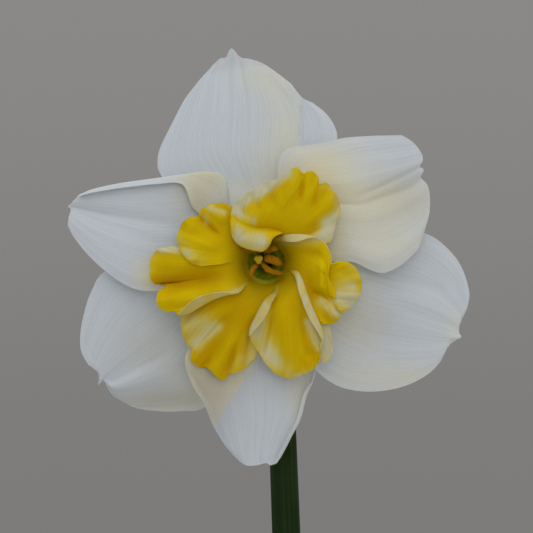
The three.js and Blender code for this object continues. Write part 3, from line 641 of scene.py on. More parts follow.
# Painted shade: darker where folds and flaps of the tepals lie in shadow.
base = blend(tint(tree, "painted_shade"), base, (0.74, 0.73, 0.75), "MULTIPLY")
smooth = spread(cream_and_painted_light, 0.0, 1.0, 0.3, 0.14)
streaks = times(spread(veins, 0.4, 0.66), smooth)
base = blend(streaks, base, (0.72, 0.75, 0.77), "MULTIPLY")
base = blend(spread(grain, 0.45, 0.7, 0.0, 0.09), base, (0.72, 0.74, 0.76), "MULTIPLY")
base = blend(spread(wide_veins, 0.45, 0.75, 0.0, 0.07), base, (0.7, 0.7, 0.7), "MULTIPLY")
ridges = plus(veins, times(wide_veins, 0.3))
ridges = plus(ridges, times(grain, 0.3))
dress(tepal_white, base, ridges, 0.00004)
print("finish:", tepal_white.name)

# %% [markdown]
# ## Six tepals
# Three outer tepals lie behind three inner ones. Each was traced from the picture: its clockwise side,
# its far end with the small point that each tepal has, and its other side. Soft swellings give the
# folds and valleys, and two margins roll forward. A short collar joins the feet behind the corona.

# %% Tepals
TEPAL_ROWS, TEPAL_COLUMNS = 80, 76  # how finely a tepal is meshed, along and across
TEPAL_SEAT = 6.2  # radius of the ring that the feet stand on
TEPAL_FOOT = 70  # degrees of that ring that each foot takes


def bow(flat):
    """How far the ring of tepals lies back from its seat: its tips bow back, most at the top."""
    r = np.linalg.norm(flat, axis=-1)
    rim = np.clip((r - 10) / 36, 0, 1) ** 2
    return rim * (2.6 + (1.8 * flat[..., 1] - 0.9 * flat[..., 0]) / np.maximum(r, 1))


def ring_depth(ring, u):
    if ring == "outer":
        return 0.6 + 1.5 * ease(0, 0.35, u)
    return -0.9 - 1.2 * ease(0, 0.3, u) + 0.6 * ease(0.7, 1, u)


def make_tepal(
    seed, name, ring, angle, point, cw, end, ccw, swells, valleys, cream, rolls=(), folds=(), beyond=(),
    yellow=(), painted_shade=(),
):
    """A tepal from its traced edges. swells follow its own shares; the other lists are marks on the
    picture. point says which place of the far edge is its small point."""
    seat = seat_arc(TEPAL_SEAT, angle - TEPAL_FOOT / 2, angle + TEPAL_FOOT / 2)
    patch = Patch(seat, cw, end, ccw, point)

    def depth_at(u, w, flat):
        side = np.minimum(w, 1 - w)
        ribs = 0.012 * np.sin(TURN * (8 * w + 0.15 * lumpy(2 * u, 5 * w, seed)))
        waves = 0.3 * lumpy(1.6 * u + 0.5, 3 * w, seed) + 0.03 * lumpy(4 * u, 9 * w, seed + 1)
        crimp = 0.15 * lumpy(9 * u, 3 * w, seed + 2) * (1 - ease(0, 0.1, side))
        own = swelling(swells, u, w) + (ribs + waves) * ease(0.1, 0.4, u) + crimp
        own = own - folded_back(folds, flat) - sunk_in(valleys, flat)
        return ring_depth(ring, u) + bow(flat) - ease(0, 0.25, u) * own

    tip = [patch.end.share_of(point + k) for k in (-1, 0, 1)]
    us = 1 - (1 - np.linspace(0, 1, TEPAL_ROWS)) ** 1.15
    u, w = grid_of(us, columns_across(TEPAL_COLUMNS, rolls, tip))
    middle, flat = petal_middle(patch, depth_at, rolls, u, w)
    # The cream tint is the tepal's own cream at its foot and on its turned margins; its spots and the tint
    # beyond folds also paint light and shade on some flaps.
    cream_and_painted_light = spots(cream, flat) + 0.55 * (1 - ease(0.15, 0.42, u)) + past_lines(beyond, flat)
    for rolled in rolls:
        turned = w < rolled["strip"] if rolled["side"] == "cw" else w > 1 - rolled["strip"]
        cream_and_painted_light = np.maximum(cream_and_painted_light, turned * 0.15)
    tints = dict(
        cream=np.clip(cream_and_painted_light, 0, 1),
        yellow=np.clip(spots(yellow, flat) + 0.5 * (1 - ease(0.05, 0.25, u)), 0, 1),
        # painted shade where folds and flaps lie in shadow
        painted_shade=spots(painted_shade, flat),
    )
    half = half_thickness(u, w, 0.09, mix(0.3, 0.2, u))
    sheet_piece(name, middle, half, tepal_white, "perianth", u, w, tints, BLOOM)


print("how far a tip bows back:", bow(np.array([0.0, 45.0])).round(2), "mm")

# %% [markdown]
# ## Top and right tepals
# The points of both sides run from the foot outwards, and those of the far end run from the
# clockwise side to the other. The upper right tepal has the most cream, partly painted light on its
# flap, which soft spots lay.

# %% Top and right tepals
make_tepal(
    seed=0, name="tepal_top", ring="outer", angle=98, point=5,
    cw=[(300, 205), (322, 172), (335, 148), (337, 132), (329, 116), (316, 104), (303, 97)],
    end=[(291, 82), (277, 71), (262, 61), (250, 57), (240, 55), (231, 46.1), (226, 55), (219, 57),
        (208, 68), (197, 81)],
    ccw=[(225, 215), (195, 198), (170, 184), (159, 172), (157, 160), (160, 146), (172, 121), (184, 98)],
    swells=[(0.8, 0.3, 0.5, 0.12, -0.35), (0.8, 0.6, 0.5, 0.09, -0.4), (0.95, 0.5, 0.4, 0.03, -0.3)],
    folds=[(303, 99, 298, 150, -0.42, 1.2, -1.6)],
    valleys=[(236, 180, 232, 62, 9, 0.45), (298, 160, 301, 108, 2.5, 0.4)],
    cream=[(284, 118, 22, 60, 0.4), (262, 75, 30, 20, 0.4), (300, 170, 40, 40, 0.5)],
    beyond=[(303, 99, 298, 150, 1.5, -0.8)],
)
make_tepal(
    seed=10, name="tepal_upper_right", ring="inner", angle=38, point=5,
    cw=[(300, 262), (330, 262), (352, 262), (368, 269), (382, 273), (396, 268), (409, 258), (418, 248)],
    end=[(424, 232), (429, 215), (430, 200), (428, 186), (421, 177), (424, 170), (420, 166), (423, 160),
        (421, 152), (413, 142), (402, 135)],
    ccw=[(277, 225), (277, 195), (278, 170), (280, 157), (288, 148), (302, 146), (322, 143), (345, 138),
        (370, 136)],
    swells=[(0.8, 0.5, 0.45, 0.06, -0.4), (0.75, 0.66, 0.4, 0.08, 0.3), (0.42, 0.68, 0.26, 0.25, 1.1),
        (0.6, 0.1, 0.3, 0.12, 0.5), (0.8, 0.5, 0.4, 0.022, -0.3)],
    folds=[(332, 215, 345, 132, 0.16, 6, 3)],
    valleys=[(340, 206, 424, 166, 3, 0.4), (350, 232, 420, 196, 8, -0.15)],
    cream=[(318, 169, 44, 34, 0.95), (375, 240, 60, 34, 0.75), (350, 200, 50, 22, 0.5),
        (404, 196, 34, 22, 0.55)],
    yellow=[(318, 190, 24, 26, 0.4), (338, 240, 14, 22, 0.25)],
    painted_shade=[(404, 192, 32, 26, 0.5)],
)
make_tepal(
    seed=20, name="tepal_lower_right", ring="outer", angle=-22, point=2,
    cw=[(290, 300), (302, 340), (316, 370), (340, 387), (370, 392), (400, 388), (425, 377), (441, 362)],
    end=[(448, 345), (450, 340), (462, 337.5), (457, 329), (463, 318)],
    ccw=[(330, 235), (380, 225), (425, 233), (447, 247), (462, 266), (470, 290), (469, 305)],
    swells=[(0.7, 0.35, 0.4, 0.1, -0.3), (0.7, 0.6, 0.4, 0.1, 0.35), (0.45, 0.4, 0.3, 0.4, 1.1)],
    valleys=[(380, 300, 457, 329, 6, 0.3), (350, 270, 440, 290, 8, 0.25)],
    cream=[(400, 380, 60, 16, 0.6), (356, 322, 32, 40, 0.5), (455, 330, 12, 24, 0.35)],
    painted_shade=[(378, 322, 30, 26, 0.35)],
)

# %% [markdown]
# ## Bottom and left tepals
# The bottom tepal's right side curls forward in its outer half, and the whole upper side of the
# upper left one does. A fold brings the bottom one's left margin forward, and the lower left one
# lies back beyond two folds.

# %% Bottom and left tepals
make_tepal(
    seed=30, name="tepal_bottom", ring="inner", angle=-82, point=4,
    cw=[(235, 300), (205, 330), (188, 350), (186, 365), (193, 385), (205, 405), (213, 425), (225, 445)],
    end=[(236, 458), (246, 465), (257, 465), (266, 463), (271, 465), (277, 462)],
    ccw=[(300, 300), (318, 340), (314, 375), (306, 395), (300, 418), (291, 436), (284, 450)],
    swells=[(0.8, 0.6, 0.4, 0.12, -0.3)],
    rolls=[
        roll("ccw", lengths=[2.4, 2.4], radius=0.75, turn=2.9, start=0.45, stop=1, strip=0.1),
    ],
    folds=[(216, 424, 259, 356, -0.5, 2, -2.8)],
    valleys=[(270, 370, 262, 462, 6, 0.3), (212, 408, 190, 372, 4, 0.5)],
    cream=[(300, 400, 14, 40, 0.5)],
    beyond=[(216, 424, 259, 356, 3, 0.95)],
    yellow=[(200, 365, 20, 26, 0.3)],
    painted_shade=[(207, 392, 27, 56, 1)],
)
make_tepal(
    seed=40, name="tepal_lower_left", ring="outer", angle=218, point=3,
    cw=[(200, 262), (150, 255), (105, 271), (91, 290), (83, 313), (79, 335), (80, 352)],
    end=[(87, 365), (96, 372), (99, 376), (97, 386), (102, 380), (107, 390), (112, 398)],
    ccw=[(240, 310), (225, 370), (205, 408), (180, 413), (155, 413), (132, 409)],
    swells=[(0.8, 0.55, 0.5, 0.07, -0.7), (0.75, 0.7, 0.4, 0.08, 0.6), (0.7, 0.25, 0.4, 0.12, 0.4),
        (0.75, 1.0, 0.6, 0.2, -2.2)],
    folds=[(205, 340, 97, 386, 0.26, 4, 5), (215, 388, 70, 390, 0.55, 12, 5)],
    valleys=[(200, 338, 99, 388, 5.5, 0.42)],
    cream=[(165, 404, 50, 14, 0.7), (190, 385, 30, 30, 0.3), (150, 350, 36, 26, 0.3)],
    painted_shade=[(168, 402, 50, 13, 0.6), (152, 352, 36, 28, 0.35)],
)
make_tepal(
    seed=50, name="tepal_upper_left", ring="inner", angle=158, point=3,
    cw=[(232, 225), (229, 205), (226, 183), (220, 175), (205, 173), (180, 176), (150, 180), (120, 184),
        (95, 189)],
    end=[(80, 194), (73, 200), (70, 204), (67, 206), (70, 209), (68, 217), (67, 226)],
    ccw=[(215, 285), (180, 288), (150, 291), (130, 287), (108, 273), (88, 255), (74, 238)],
    swells=[(0.42, 0.06, 0.22, 0.2, 1.1), (0.85, 0.45, 0.4, 0.08, -0.6), (0.5, 0.9, 0.3, 0.15, 0.5)],
    rolls=[
        roll("cw", lengths=[0.8, 5, 10.8, 10.7, 3.9, 2.9, 2.7, 2.6, 2.2], radius=0.5,
            turn=[3.0, 3.1, 3.12, 3.1, 2.75, 2.55, 2.5, 2.5, 2.5], start=-0.15, stop=1,
            strip=0.16),
    ],
    valleys=[(190, 226, 70, 208, 6, 0.35), (180, 250, 72, 214, 7, 0.3)],
    cream=[(150, 276, 14, 18, 1), (204, 178, 26, 14, 1), (180, 200, 12, 12, 0.3)],
    yellow=[(150, 284, 8, 10, 0.2), (205, 178, 24, 12, 0.25)],
    painted_shade=[(204, 184, 22, 13, 0.5)],
)

# %% [markdown]
# ## Yellow, white and cream
# Near the throat a papillon's corona is a deep, even gold that turns green where it dips into the
# tube, and round the throat the gold is darkened to olive by painted shade. Further out the gold
# breaks into flames, and white or cream shows between them. The flames follow the lobe's own lines,
# so the same squeezed noise as on the tepals moves the border between the two colours. The gold is
# also painted lighter where a lobe stands forward and darker in its hollows and on the lower lobes,
# as painted light and shade. The painted tints only say roughly where the pale parts and the throat
# lie.

# %% Finish of the corona
GOLD = (0.84, 0.60, 0.002)
DEEP_GOLD = (0.66, 0.38, 0.0005)
PALE = (0.75, 0.705, 0.46)
PALE_YELLOW = (0.78, 0.61, 0.07)
# SHADED_GOLD is painted shade round the throat. The throat's green is its own, made lighter as painted
# light in the deep funnel.
SHADED_GOLD = (0.38, 0.26, 0.002)
LIGHTENED_THROAT_GREEN = (0.64, 0.8, 0.035)

corona_gold, tree = new_finish(
    "corona gold", 0.6, 0.03, Subsurface_Weight=0.15, Subsurface_Radius=(0.8, 0.6, 0.15),
    Subsurface_Scale=0.0006,
)
lines, place = sheet_lines(tree), own_place(tree)
flames = speckle(stretched(lines, 16, 1.1), 1.0, 4, 0.62)
veins = speckle(stretched(lines, 46, 1.6), 1.0, 3, 0.6)
clouds = speckle(place, 0.006, 2)
pale = tint(tree, "pale")
torn = times(spread(pale, 0.0, 0.35), spread(pale, 1.0, 0.6))
torn = times(plus(torn, 0.12), reckon("SUBTRACT", flames, 0.5))
reach = plus(pale, times(torn, tint(tree, "torn")))
# Painted light and shade: lighter gold where a lobe stands forward and at its margin, deeper gold in its
# hollows and on the lower lobes.
base = blend(tint(tree, "painted_ridge_light"), DEEP_GOLD, GOLD)
base = blend(spread(clouds, 0.3, 0.7, 0.0, 0.3), base, DEEP_GOLD)
base = blend(spread(reach, 0.0, 0.6), base, PALE_YELLOW)
base = blend(spread(reach, 0.3, 1.1), base, PALE)
base = blend(spread(veins, 0.4, 0.68, 0.0, 0.2), base, (0.75, 0.7, 0.5), "MULTIPLY")
# Painted shade round the throat, then the throat's green, lighter than its own as painted light.
base = blend(tint(tree, "shade"), base, SHADED_GOLD)
base = blend(tint(tree, "throat"), base, LIGHTENED_THROAT_GREEN)
ridges = plus(times(veins, 0.5), times(flames, 0.5))
dress(corona_gold, base, ridges, 0.00005)
print("finish:", corona_gold.name)

# %% [markdown]
# ## The split corona
# In most daffodils the corona is a cup. In a papillon it is split into six lobes that lie flat on the
# tepals, each ruffled like a cuff. Here they are petals of the same kind, seated round a short funnel.
# Two lists mark a lobe with lines on the picture, each with a half width and a strength: valleys are
# its creases, or ridges where the strength is below zero, and pale is where white or cream lies.

# %% Corona
LOBE_ROWS, LOBE_COLUMNS = 72, 140  # how finely a lobe is meshed, along and across
CUP_MOUTH = -2.6  # depth of the corona's face at its foot
THROAT_RADIUS = 4.9


def corona_depth(r):
    """Depth of the corona's face at a distance from the axis: a short funnel that flares out flat."""
    fall = 3.9 * (1 - np.exp(-np.maximum(0, r - 5) / 2.1))
    return CUP_MOUTH - fall + 0.03 * np.maximum(0, r - 12)


def corona_piece(name, middle, r, u, w, half, pale, torn=0.7, deep=0):
    """One sheet of the corona, with its tints. r is each point's distance from the bloom's axis. torn
    says how far its yellow breaks into flames, and deep how much its gold is darkened as painted
    shade. The gold is painted lighter where the sheet stands forward and at its margin, and darker
    in its hollows. The painted shade of the throat reaches furthest to the lower left."""
    near = r + 0.1 * np.minimum(middle[..., 2], 0) + 0.1 * np.maximum(middle[..., 0], 0)
    # painted light where the sheet stands forward and at its margin, painted shade in its hollows; deep
    # adds painted shade on the lower lobes
    painted_ridge_light = 0.5 + 0.5 * (corona_depth(r) - middle[..., 1]) + 0.25 * ease(0.85, 1, u)
    tints = dict(
        pale=np.clip(pale, 0, 1),
        # the throat's green, and painted shade round it that reaches furthest to the lower left
        throat=0.8 * (1 - ease(3.4, 5.2, near)),
        shade=0.95 * (1 - ease(3.8, 10.5, near)),
        torn=torn + 0 * r,
        painted_ridge_light=np.clip(painted_ridge_light, 0, 1) * (1 - deep),
    )
    sheet_piece(name, middle, half, corona_gold, "corona", u, w, tints, BLOOM)


def make_lobe(
    seed, name, start, stop, lift, waves, ruffle, phase, cw, end, ccw, valleys, pale, rolls=(), torn=0.7,
    deep=0,
):
    """A ruffled lobe from its traced edges. lift is how far each side stands off the corona's face, in
    millimetres. waves, ruffle and phase are the number, height and start of its ruffles."""
    patch = Patch(seat_arc(THROAT_RADIUS, start, stop), cw, end, ccw)

    def depth_at(u, w, flat):
        r = np.linalg.norm(flat, axis=-1)
        settled = np.sin(math.pi * np.clip(w, 0, 1)) ** 0.4
        wave = np.sin(TURN * (waves * w + 0.35 * lumpy(5 * w, u, seed + 3)) + phase)
        ruffled = ruffle * ease(0.4, 1, u) ** 1.5 * wave * settled
        pleats = 0.22 * ease(0.3, 1, u) * lumpy(22 * w, 1.5 * u, seed) * settled
        folds = 0.3 * lumpy(4 * w, 2.5 * u, seed + 1) * ease(0.1, 0.5, u)
        own = mix(*lift, w) + ruffled + pleats + folds - sunk_in(valleys, flat)
        return corona_depth(r) - ease(6, 12, r) * own

    u, w = grid_of(np.linspace(0, 1, LOBE_ROWS), columns_across(LOBE_COLUMNS, rolls))
    middle, flat = petal_middle(patch, depth_at, rolls, u, w)
    frill = 0.1 * lumpy(48 * w, 0 * w, seed + 2) + 0.12 * lumpy(27 * w, 0 * w, seed + 5)
    middle[..., ::2] += unit(flat) * (frill * ease(0.8, 1, u))[..., None]
    paleness = strokes(pale, flat)
    for rolled in rolls:
        run = 1 - (w if rolled["side"] == "cw" else 1 - w) / rolled["strip"]
        from_fold = mix(1, ease(0.15, 0.6, run), 0.7 * ease(0.3, 0.8, u))
        mottled = 1 + 0.25 * lumpy(14 * u, 3 * run, seed + 4)
        strip = ease(0, 0.2, u) * rolled["pale"] * from_fold * mottled
        paleness = np.where(run > 0, np.maximum(paleness, strip), paleness)
    r = np.linalg.norm(flat, axis=-1)
    corona_piece(name, middle, r, u, w, half_thickness(u, w, 0.08, 0.2), paleness, torn, deep)


print("depth of the face at the throat:", round(float(corona_depth(5)), 2), "mm")

# %% [markdown]
# ## Upper lobes
# The top lobe is the most ruffled. Its yellow breaks into flames, and creases run out to its margin.
# The upper left one is narrower and more even in colour.

# %% Upper lobes
make_lobe(
    seed=100, name="corona_top", start=75, stop=145, lift=(0, 1.2),
    torn=1.5, waves=5.5, ruffle=0.55, phase=0.6,
    cw=[(285, 243), (310, 246), (328, 243)],
    end=[(333, 236), (336, 221), (339, 214), (340, 208), (337, 198), (332, 191), (329, 186), (324, 183.5),
        (319, 184.5), (317.5, 178), (313, 172.5), (307.5, 172), (303.3, 175), (300, 171), (296, 168.7),
        (290, 170.8), (283, 175.8), (276.7, 180), (270, 182), (264, 183.5), (258, 187.5), (248, 193),
        (241, 198), (236, 203), (232.5, 207)],
    ccw=[(241, 240), (234, 228), (231, 217)],
    valleys=[(298, 212, 303, 177, 3, 0.7), (310, 212, 319, 186, 3, 0.8), (304, 205, 309, 174, 4, -0.5),
        (318, 215, 331, 193, 5, -0.5), (262, 214, 250, 196, 4, 0.5), (275, 210, 266, 186, 4, 0.5),
        (284, 206, 282, 178, 4, 0.4), (246, 222, 238, 206, 4, 0.5), (300, 236, 330, 226, 6, 0.6)],
    pale=[(236, 205, 262, 187, 8.5, 1.1), (262, 187, 287, 174, 7, 1), (318, 240, 333, 230, 9, 1.1),
        (325, 222, 337, 214, 6, 0.7), (334, 197, 338, 206, 5, 0.4), (234, 211, 252, 221, 5, 0.7),
        (322, 186, 327, 188, 4, 0.3)],
)
make_lobe(
    seed=110, name="corona_upper_left", start=145, stop=180, lift=(0, 1.5),
    waves=3.5, ruffle=0.4, phase=2.4,
    cw=[(242, 240), (238, 228), (235, 218)],
    end=[(234, 212), (232, 207), (227, 205), (221, 204), (215, 204), (207, 207), (201, 211), (200, 216),
        (197, 217.5), (193, 216.7), (188, 219), (184, 223), (180, 230), (178.5, 235), (178, 241),
        (180, 248.5), (184, 255), (188, 260), (194, 264), (202, 266)],
    ccw=[(230, 263), (219, 264.5)],
    valleys=[(224, 240, 203, 220, 3, 1), (228, 226, 212, 210, 5, -0.7), (196, 222, 183, 240, 5, -0.7),
        (200, 257, 192, 262, 4, -0.9), (224, 250, 192, 243, 8, -0.9)],
    pale=[(210, 209, 224, 213, 4, 0.65), (206, 217, 207, 223, 3.5, 0.5), (190, 254, 202, 261, 7.5, 0.32),
        (183, 245, 188, 254, 6, 0.4), (181, 230, 180, 240, 4, 0.25)],
)

# %% [markdown]
# ## Left lobes
# The left lobe's lower side curls forward in a pale strip. The lower left one's gold is darkened by
# painted shade.

# %% Left lobes
make_lobe(
    seed=120, name="corona_left", start=180, stop=228, lift=(0, 1.5),
    waves=3.5, ruffle=0.5, phase=0.2,
    cw=[(230, 258), (210, 254), (192, 250)],
    end=[(180, 247), (172, 246.5), (166.7, 247), (158, 250), (153, 255.8), (151, 265), (151.7, 275),
        (154, 282.5), (159, 284.3), (166.5, 284.2), (166, 286.5), (160, 291), (158, 296), (157.5, 300),
        (159, 305), (162, 308.5), (167.5, 311), (175, 310), (178, 314), (180.5, 317)],
    ccw=[(240, 293), (227, 296.5), (214, 301.5), (202, 308), (190, 315)],
    rolls=[
        roll("ccw", lengths=[0.4, 1.4, 4.0, 4.4, 2.6], radius=0.7, turn=2.4, start=0.06,
            stop=1.1, strip=0.11, opens=0.6, pale=0.62),
    ],
    valleys=[(242, 276, 160, 283, 10, 1.9), (188, 284, 162, 284.5, 3, 0.7), (215, 300, 164, 300, 6, -0.6),
        (215, 262, 155, 262, 7, -0.7)],
    pale=[(162, 249, 184, 249, 5, 0.95), (154, 256, 153, 270, 4, 0.25), (236, 290, 186, 311, 4.5, 0.55)],
)
make_lobe(
    seed=130, name="corona_lower_left", start=228, stop=291, lift=(0, 0),
    # deep: painted shade darkens this lower lobe's gold
    deep=0.3, waves=5, ruffle=0.5, phase=1.2,
    cw=[(234, 285), (218, 288), (201, 295), (187, 305)],
    end=[(181.5, 311), (181.3, 318), (182, 324), (183, 330), (184.5, 336), (186.7, 342), (190, 347),
        (192, 351), (190.8, 356), (192.5, 361), (196, 364.5), (202, 366.7), (208, 367), (212, 370),
        (215, 374), (218, 377), (221.7, 379), (226, 378), (228.5, 373.5), (233, 372.5), (238, 371),
        (243, 368), (248, 364.5), (255, 357)],
    ccw=[(279, 292), (272, 304), (266, 319), (262, 335)],
    valleys=[(240, 308, 193, 350, 5, 1), (238, 300, 186, 328, 7, -0.6), (240, 322, 214, 372, 7, -0.7),
        (256, 312, 246, 362, 5, 1), (236, 340, 229, 374, 3, 0.6), (214, 356, 203, 366, 3, 0.5)],
    pale=[(184, 318, 204, 321, 12, 0.52), (218, 327, 194, 343, 7, 0.55), (190, 330, 197, 345, 9, 0.25),
        (258, 338, 252, 360, 11, 0.6), (240, 358, 232, 371, 5, 0.2)],
)

# %% [markdown]
# ## Bottom and right lobes
# Both sides of the bottom lobe curl forward, so that it looks like a trough. The upper side of the
# right one curls into a ridge.

# %% Bottom and right lobes
make_lobe(
    seed=140, name="corona_bottom", start=291, stop=333, lift=(1.5, 1.7),
    # deep: painted shade darkens this lower lobe's gold
    deep=0.3, waves=3, ruffle=0.45, phase=3.6,
    cw=[(275, 292), (265, 300), (257.5, 312), (251, 325)],
    end=[(249, 333), (251, 339), (255, 346), (260, 353), (265, 361.7), (270, 367.5), (275, 371.7),
        (281, 375), (287, 376.7), (293, 376), (298, 375), (303, 373), (308, 370.8), (313, 367), (318, 363),
        (316, 360), (313.5, 356), (314, 352), (318, 350), (320.5, 346)],
    ccw=[(297, 270.5), (303, 279), (308, 293), (314, 309), (321, 325), (323.5, 336)],
    rolls=[
        roll("cw", lengths=[0.6, 3, 4.6, 4, 2.4], radius=0.8, turn=2.3, start=0.02, stop=1.1,
            strip=0.13, opens=0.6, pale=0.68),
        roll("ccw", lengths=[0.8, 4.2, 4.1, 3.8, 3, 1.4], radius=0.8, turn=2.5, start=-0.15,
            stop=1.1, strip=0.14, opens=0.7, pale=0.8),
    ],
    valleys=[(284, 296, 293, 366, 8, -0.7), (274, 300, 263, 350, 4, 0.9), (300, 304, 309, 352, 4, 0.9),
        (300, 355, 305, 372, 4, 0.5), (313, 340, 318, 349, 3, -0.4)],
    pale=[(258, 330, 268, 360, 13, 0.5), (270, 352, 292, 376, 9, 0.42), (264, 312, 254, 332, 7, 0.4),
        (308, 322, 318, 344, 6, 0.75), (298, 374, 312, 368, 4, 0.3)],
)
make_lobe(
    seed=150, name="corona_right", start=333, stop=435, lift=(0, 1.5),
    waves=4.5, ruffle=0.4, phase=2.2,
    cw=[(291, 284), (296, 298), (302, 310)],
    end=[(310, 319), (318, 322.5), (325, 324), (333, 322.5), (338, 319), (341, 314), (342, 308),
        (339.5, 302), (335, 298), (330, 295), (327, 289), (327, 280), (328, 272), (329.5, 264)],
    ccw=[(276, 238), (287, 235.5), (303, 235), (316.7, 238), (325, 243.5), (330, 254)],
    rolls=[
        roll("ccw", lengths=[2, 3.2, 3.2, 1.8, 0.5, 0.3, 0.3], radius=0.6, turn=2.5, start=-0.15,
            stop=1.1, strip=0.1, opens=0, pale=0.72),
    ],
    valleys=[(292, 252, 316, 254, 6, 0.9), (321, 258, 321, 286, 4, -1.5), (311, 290, 327, 298, 3, 0.9),
        (322, 306, 334, 315, 6, -0.9), (302, 268, 312, 296, 6, 0.8)],
    pale=[(321, 302, 336, 311, 6.5, 0.6), (334, 314, 340, 306, 4, 0.35), (280, 241, 316, 241, 5, 0.55)],
)

# %% [markdown]
# ## Three small parts
# The margin of the top lobe turns down over the throat in a cream lip, a pale back lobe shows between
# the two lowest ones, and a round lobule stands behind the ridge of the right one. Each is a small
# patch, made as the lobes are.

# %% Lips
LIP_ROWS, LIP_COLUMNS = 30, 60


def make_lip(seed, name, seat, cw, end, ccw, lift, pale, pleats=0):
    """A small patch. lift is how far it stands off the corona's face along it, in millimetres."""
    patch = Patch(on_bloom(seat), cw, end, ccw)

    def depth_at(u, w, flat):
        r = np.maximum(np.linalg.norm(flat, axis=-1), 8)
        folds = 0.3 * lumpy(5 * w, 2 * u, seed) * ease(0.2, 1, u)
        pleated = pleats * lumpy(13 * w, 1.2 * u, seed + 2) * ease(0.15, 0.7, u)
        return corona_depth(r) - along(lift, u) - folds - pleated

    u, w = grid_of(np.linspace(0, 1, LIP_ROWS), np.linspace(0, 1, LIP_COLUMNS))
    middle, flat = petal_middle(patch, depth_at, [], u, w)
    paleness = (strokes(pale, flat) + 0.1 * lumpy(6 * w, 3 * u, seed + 1)) * ease(0.0, 0.3, u)
    half = half_thickness(u, w, 0.08, 0.2, 6)
    corona_piece(name, middle, 12 + 0 * u, u, w, half, paleness, 0.3)


make_lip(
    seed=200, name="corona_lip",
    seat=[(284, 233), (268, 228), (255, 226), (243, 221), (232, 214)],
    end=[(276, 235), (271, 240), (269, 246), (263, 251.5), (256, 251), (247, 249), (239, 245), (233, 238),
        (231, 229)],
    cw=[(281, 234)],
    ccw=[(231, 221)],
    lift=[0, 2.2, 2.9, 2.2],
    pale=[(240, 236, 258, 243, 11, 0.72), (236, 226, 238, 240, 5, 0.25), (262, 236, 264, 242, 5, 0.25)],
)
make_lip(
    seed=210, name="corona_back_lobe",
    seat=[(309, 296), (317, 305), (326, 312)],
    end=[(318, 352), (321, 361), (327, 361), (332, 352), (332, 342), (329, 332)],
    cw=[(306, 315), (311, 334)],
    ccw=[(328, 321)],
    lift=[-0.7, -0.6, -0.7, -0.9],
    pale=[(314, 310, 325, 350, 20, 1)],
)
make_lip(
    seed=220, name="corona_right_lobule", pleats=0.4,
    seat=[(331, 305), (323, 297), (320, 285), (321, 273), (326, 263)],
    end=[(341, 312), (347, 309.5), (351.5, 305.8), (356.5, 300), (359.5, 294), (360.7, 287), (360.3, 281),
        (359, 275), (356.5, 270), (353, 266), (347.5, 262.7), (342, 261.5), (337, 262.3), (333, 264.5)],
    cw=[(337, 309)],
    ccw=[(330, 264)],
    lift=[-0.4, 0.4, 1.5, 1.6, 0.9],
    pale=[(338, 296, 349, 303, 10, 0.85), (350, 286, 357, 296, 8, 0.5), (341, 280, 352, 284, 5, 0.25),
        (350, 268, 357, 276, 5, 0.25)],
)

# %% [markdown]
# ## The funnel
# A smooth funnel backs the lobes' feet, so that no light falls through between them. It is a profile
# of a radius and a depth, from their feet down into the tube, swept about the bloom's axis.

# %% Funnel
FUNNEL = [
    (8.6, -5.3), (6.9, -4.3), (5.7, -3.4), (4.75, -2.5), (4.25, -1.2), (4.2, 0.4), (3.85, 2), (2.95, 4),
    (2.3, 6.2), (1.8, 9), (1.55, 13), (1.5, 17),
]
u, w = grid_of(np.linspace(0, 1, 36), np.linspace(0, 1, 97))
turn = TURN * w
r, depth = np.moveaxis(along(FUNNEL, 1 - u), -1, 0)
r = r + 0.06 * np.cos(18 * turn) * ease(2, 4, r)
funnel = np.stack([r * np.cos(turn), depth, r * np.sin(turn)], axis=-1)
corona_piece("corona_funnel", funnel, r, u, w, 0 * u + 0.15, 0 * u)

# %% [markdown]
# ## Streaky finishes
# Stems, leaves and dry skins all show lengthwise streaks: fibres and veins that differ a little in
# colour and stand out a little. One helper makes such a finish between two colours, and each piece
# then adds its own marks, such as a brown leaf tip. Sheets carry their lines as a UV map. Rods carry
# them as a vector round their middle, because a map would show a seam.


# %% Streaky finishes
def streaky(name, dark, light, roughness, specular, fine, drawn, rod=False, **sockets):
    """A finish with streaks between two colours, so fine across and so drawn out along the piece: the
    finish, its tree, the colour and the streaks."""
    finish, tree = new_finish(name, roughness, specular, **sockets)
    if rod:
        lines = add(tree, "ShaderNodeAttribute", attribute_name="round").outputs["Vector"]
        lines = stretched(lines, fine, fine, drawn)
    else:
        lines = stretched(sheet_lines(tree), fine, drawn)
    streaks = speckle(lines, 1.0, 4, 0.62)
    return finish, tree, blend(spread(streaks, 0.3, 0.7), dark, light), streaks


def clouds_over(colour, size, strength, over):
    """Soft patches of another colour over a colour."""
    clouds = speckle(own_place(colour.id_data), size, 3)
    return blend(spread(clouds, 0.35, 0.7, 0, strength), colour, over)


print("finishes so far:", len(bpy.data.materials))

# %% [markdown]
# ## Finishes of stem, tube and throat
# The stem is dark green, darkest near the bloom as painted shade under it, and pales towards its
# foot. The tube whitens at its mouth, and the stigma is a deeper yellow than its style. Pollen is a
# powder, so its grains are coarse and stand out most.

# %% Finishes of stem, tube and throat
# The stem's dark greens are painted shade under the bloom.
stem_green, tree, base, streaks = streaky(
    "stem green", (0.010, 0.024, 0.004), (0.022, 0.046, 0.009), 0.5, 0.06, fine=3.2, drawn=0.06, rod=True,
)
height = height_of(own_place(tree))
# lighter green lower down, away from the painted shade under the bloom
base = blend(spread(height, 0.33, 0.12, 0, 0.6), base, (0.075, 0.14, 0.045))
base = clouds_over(base, 0.02, 0.25, (0.06, 0.09, 0.045))
dress(stem_green, base, streaks, 0.00008)

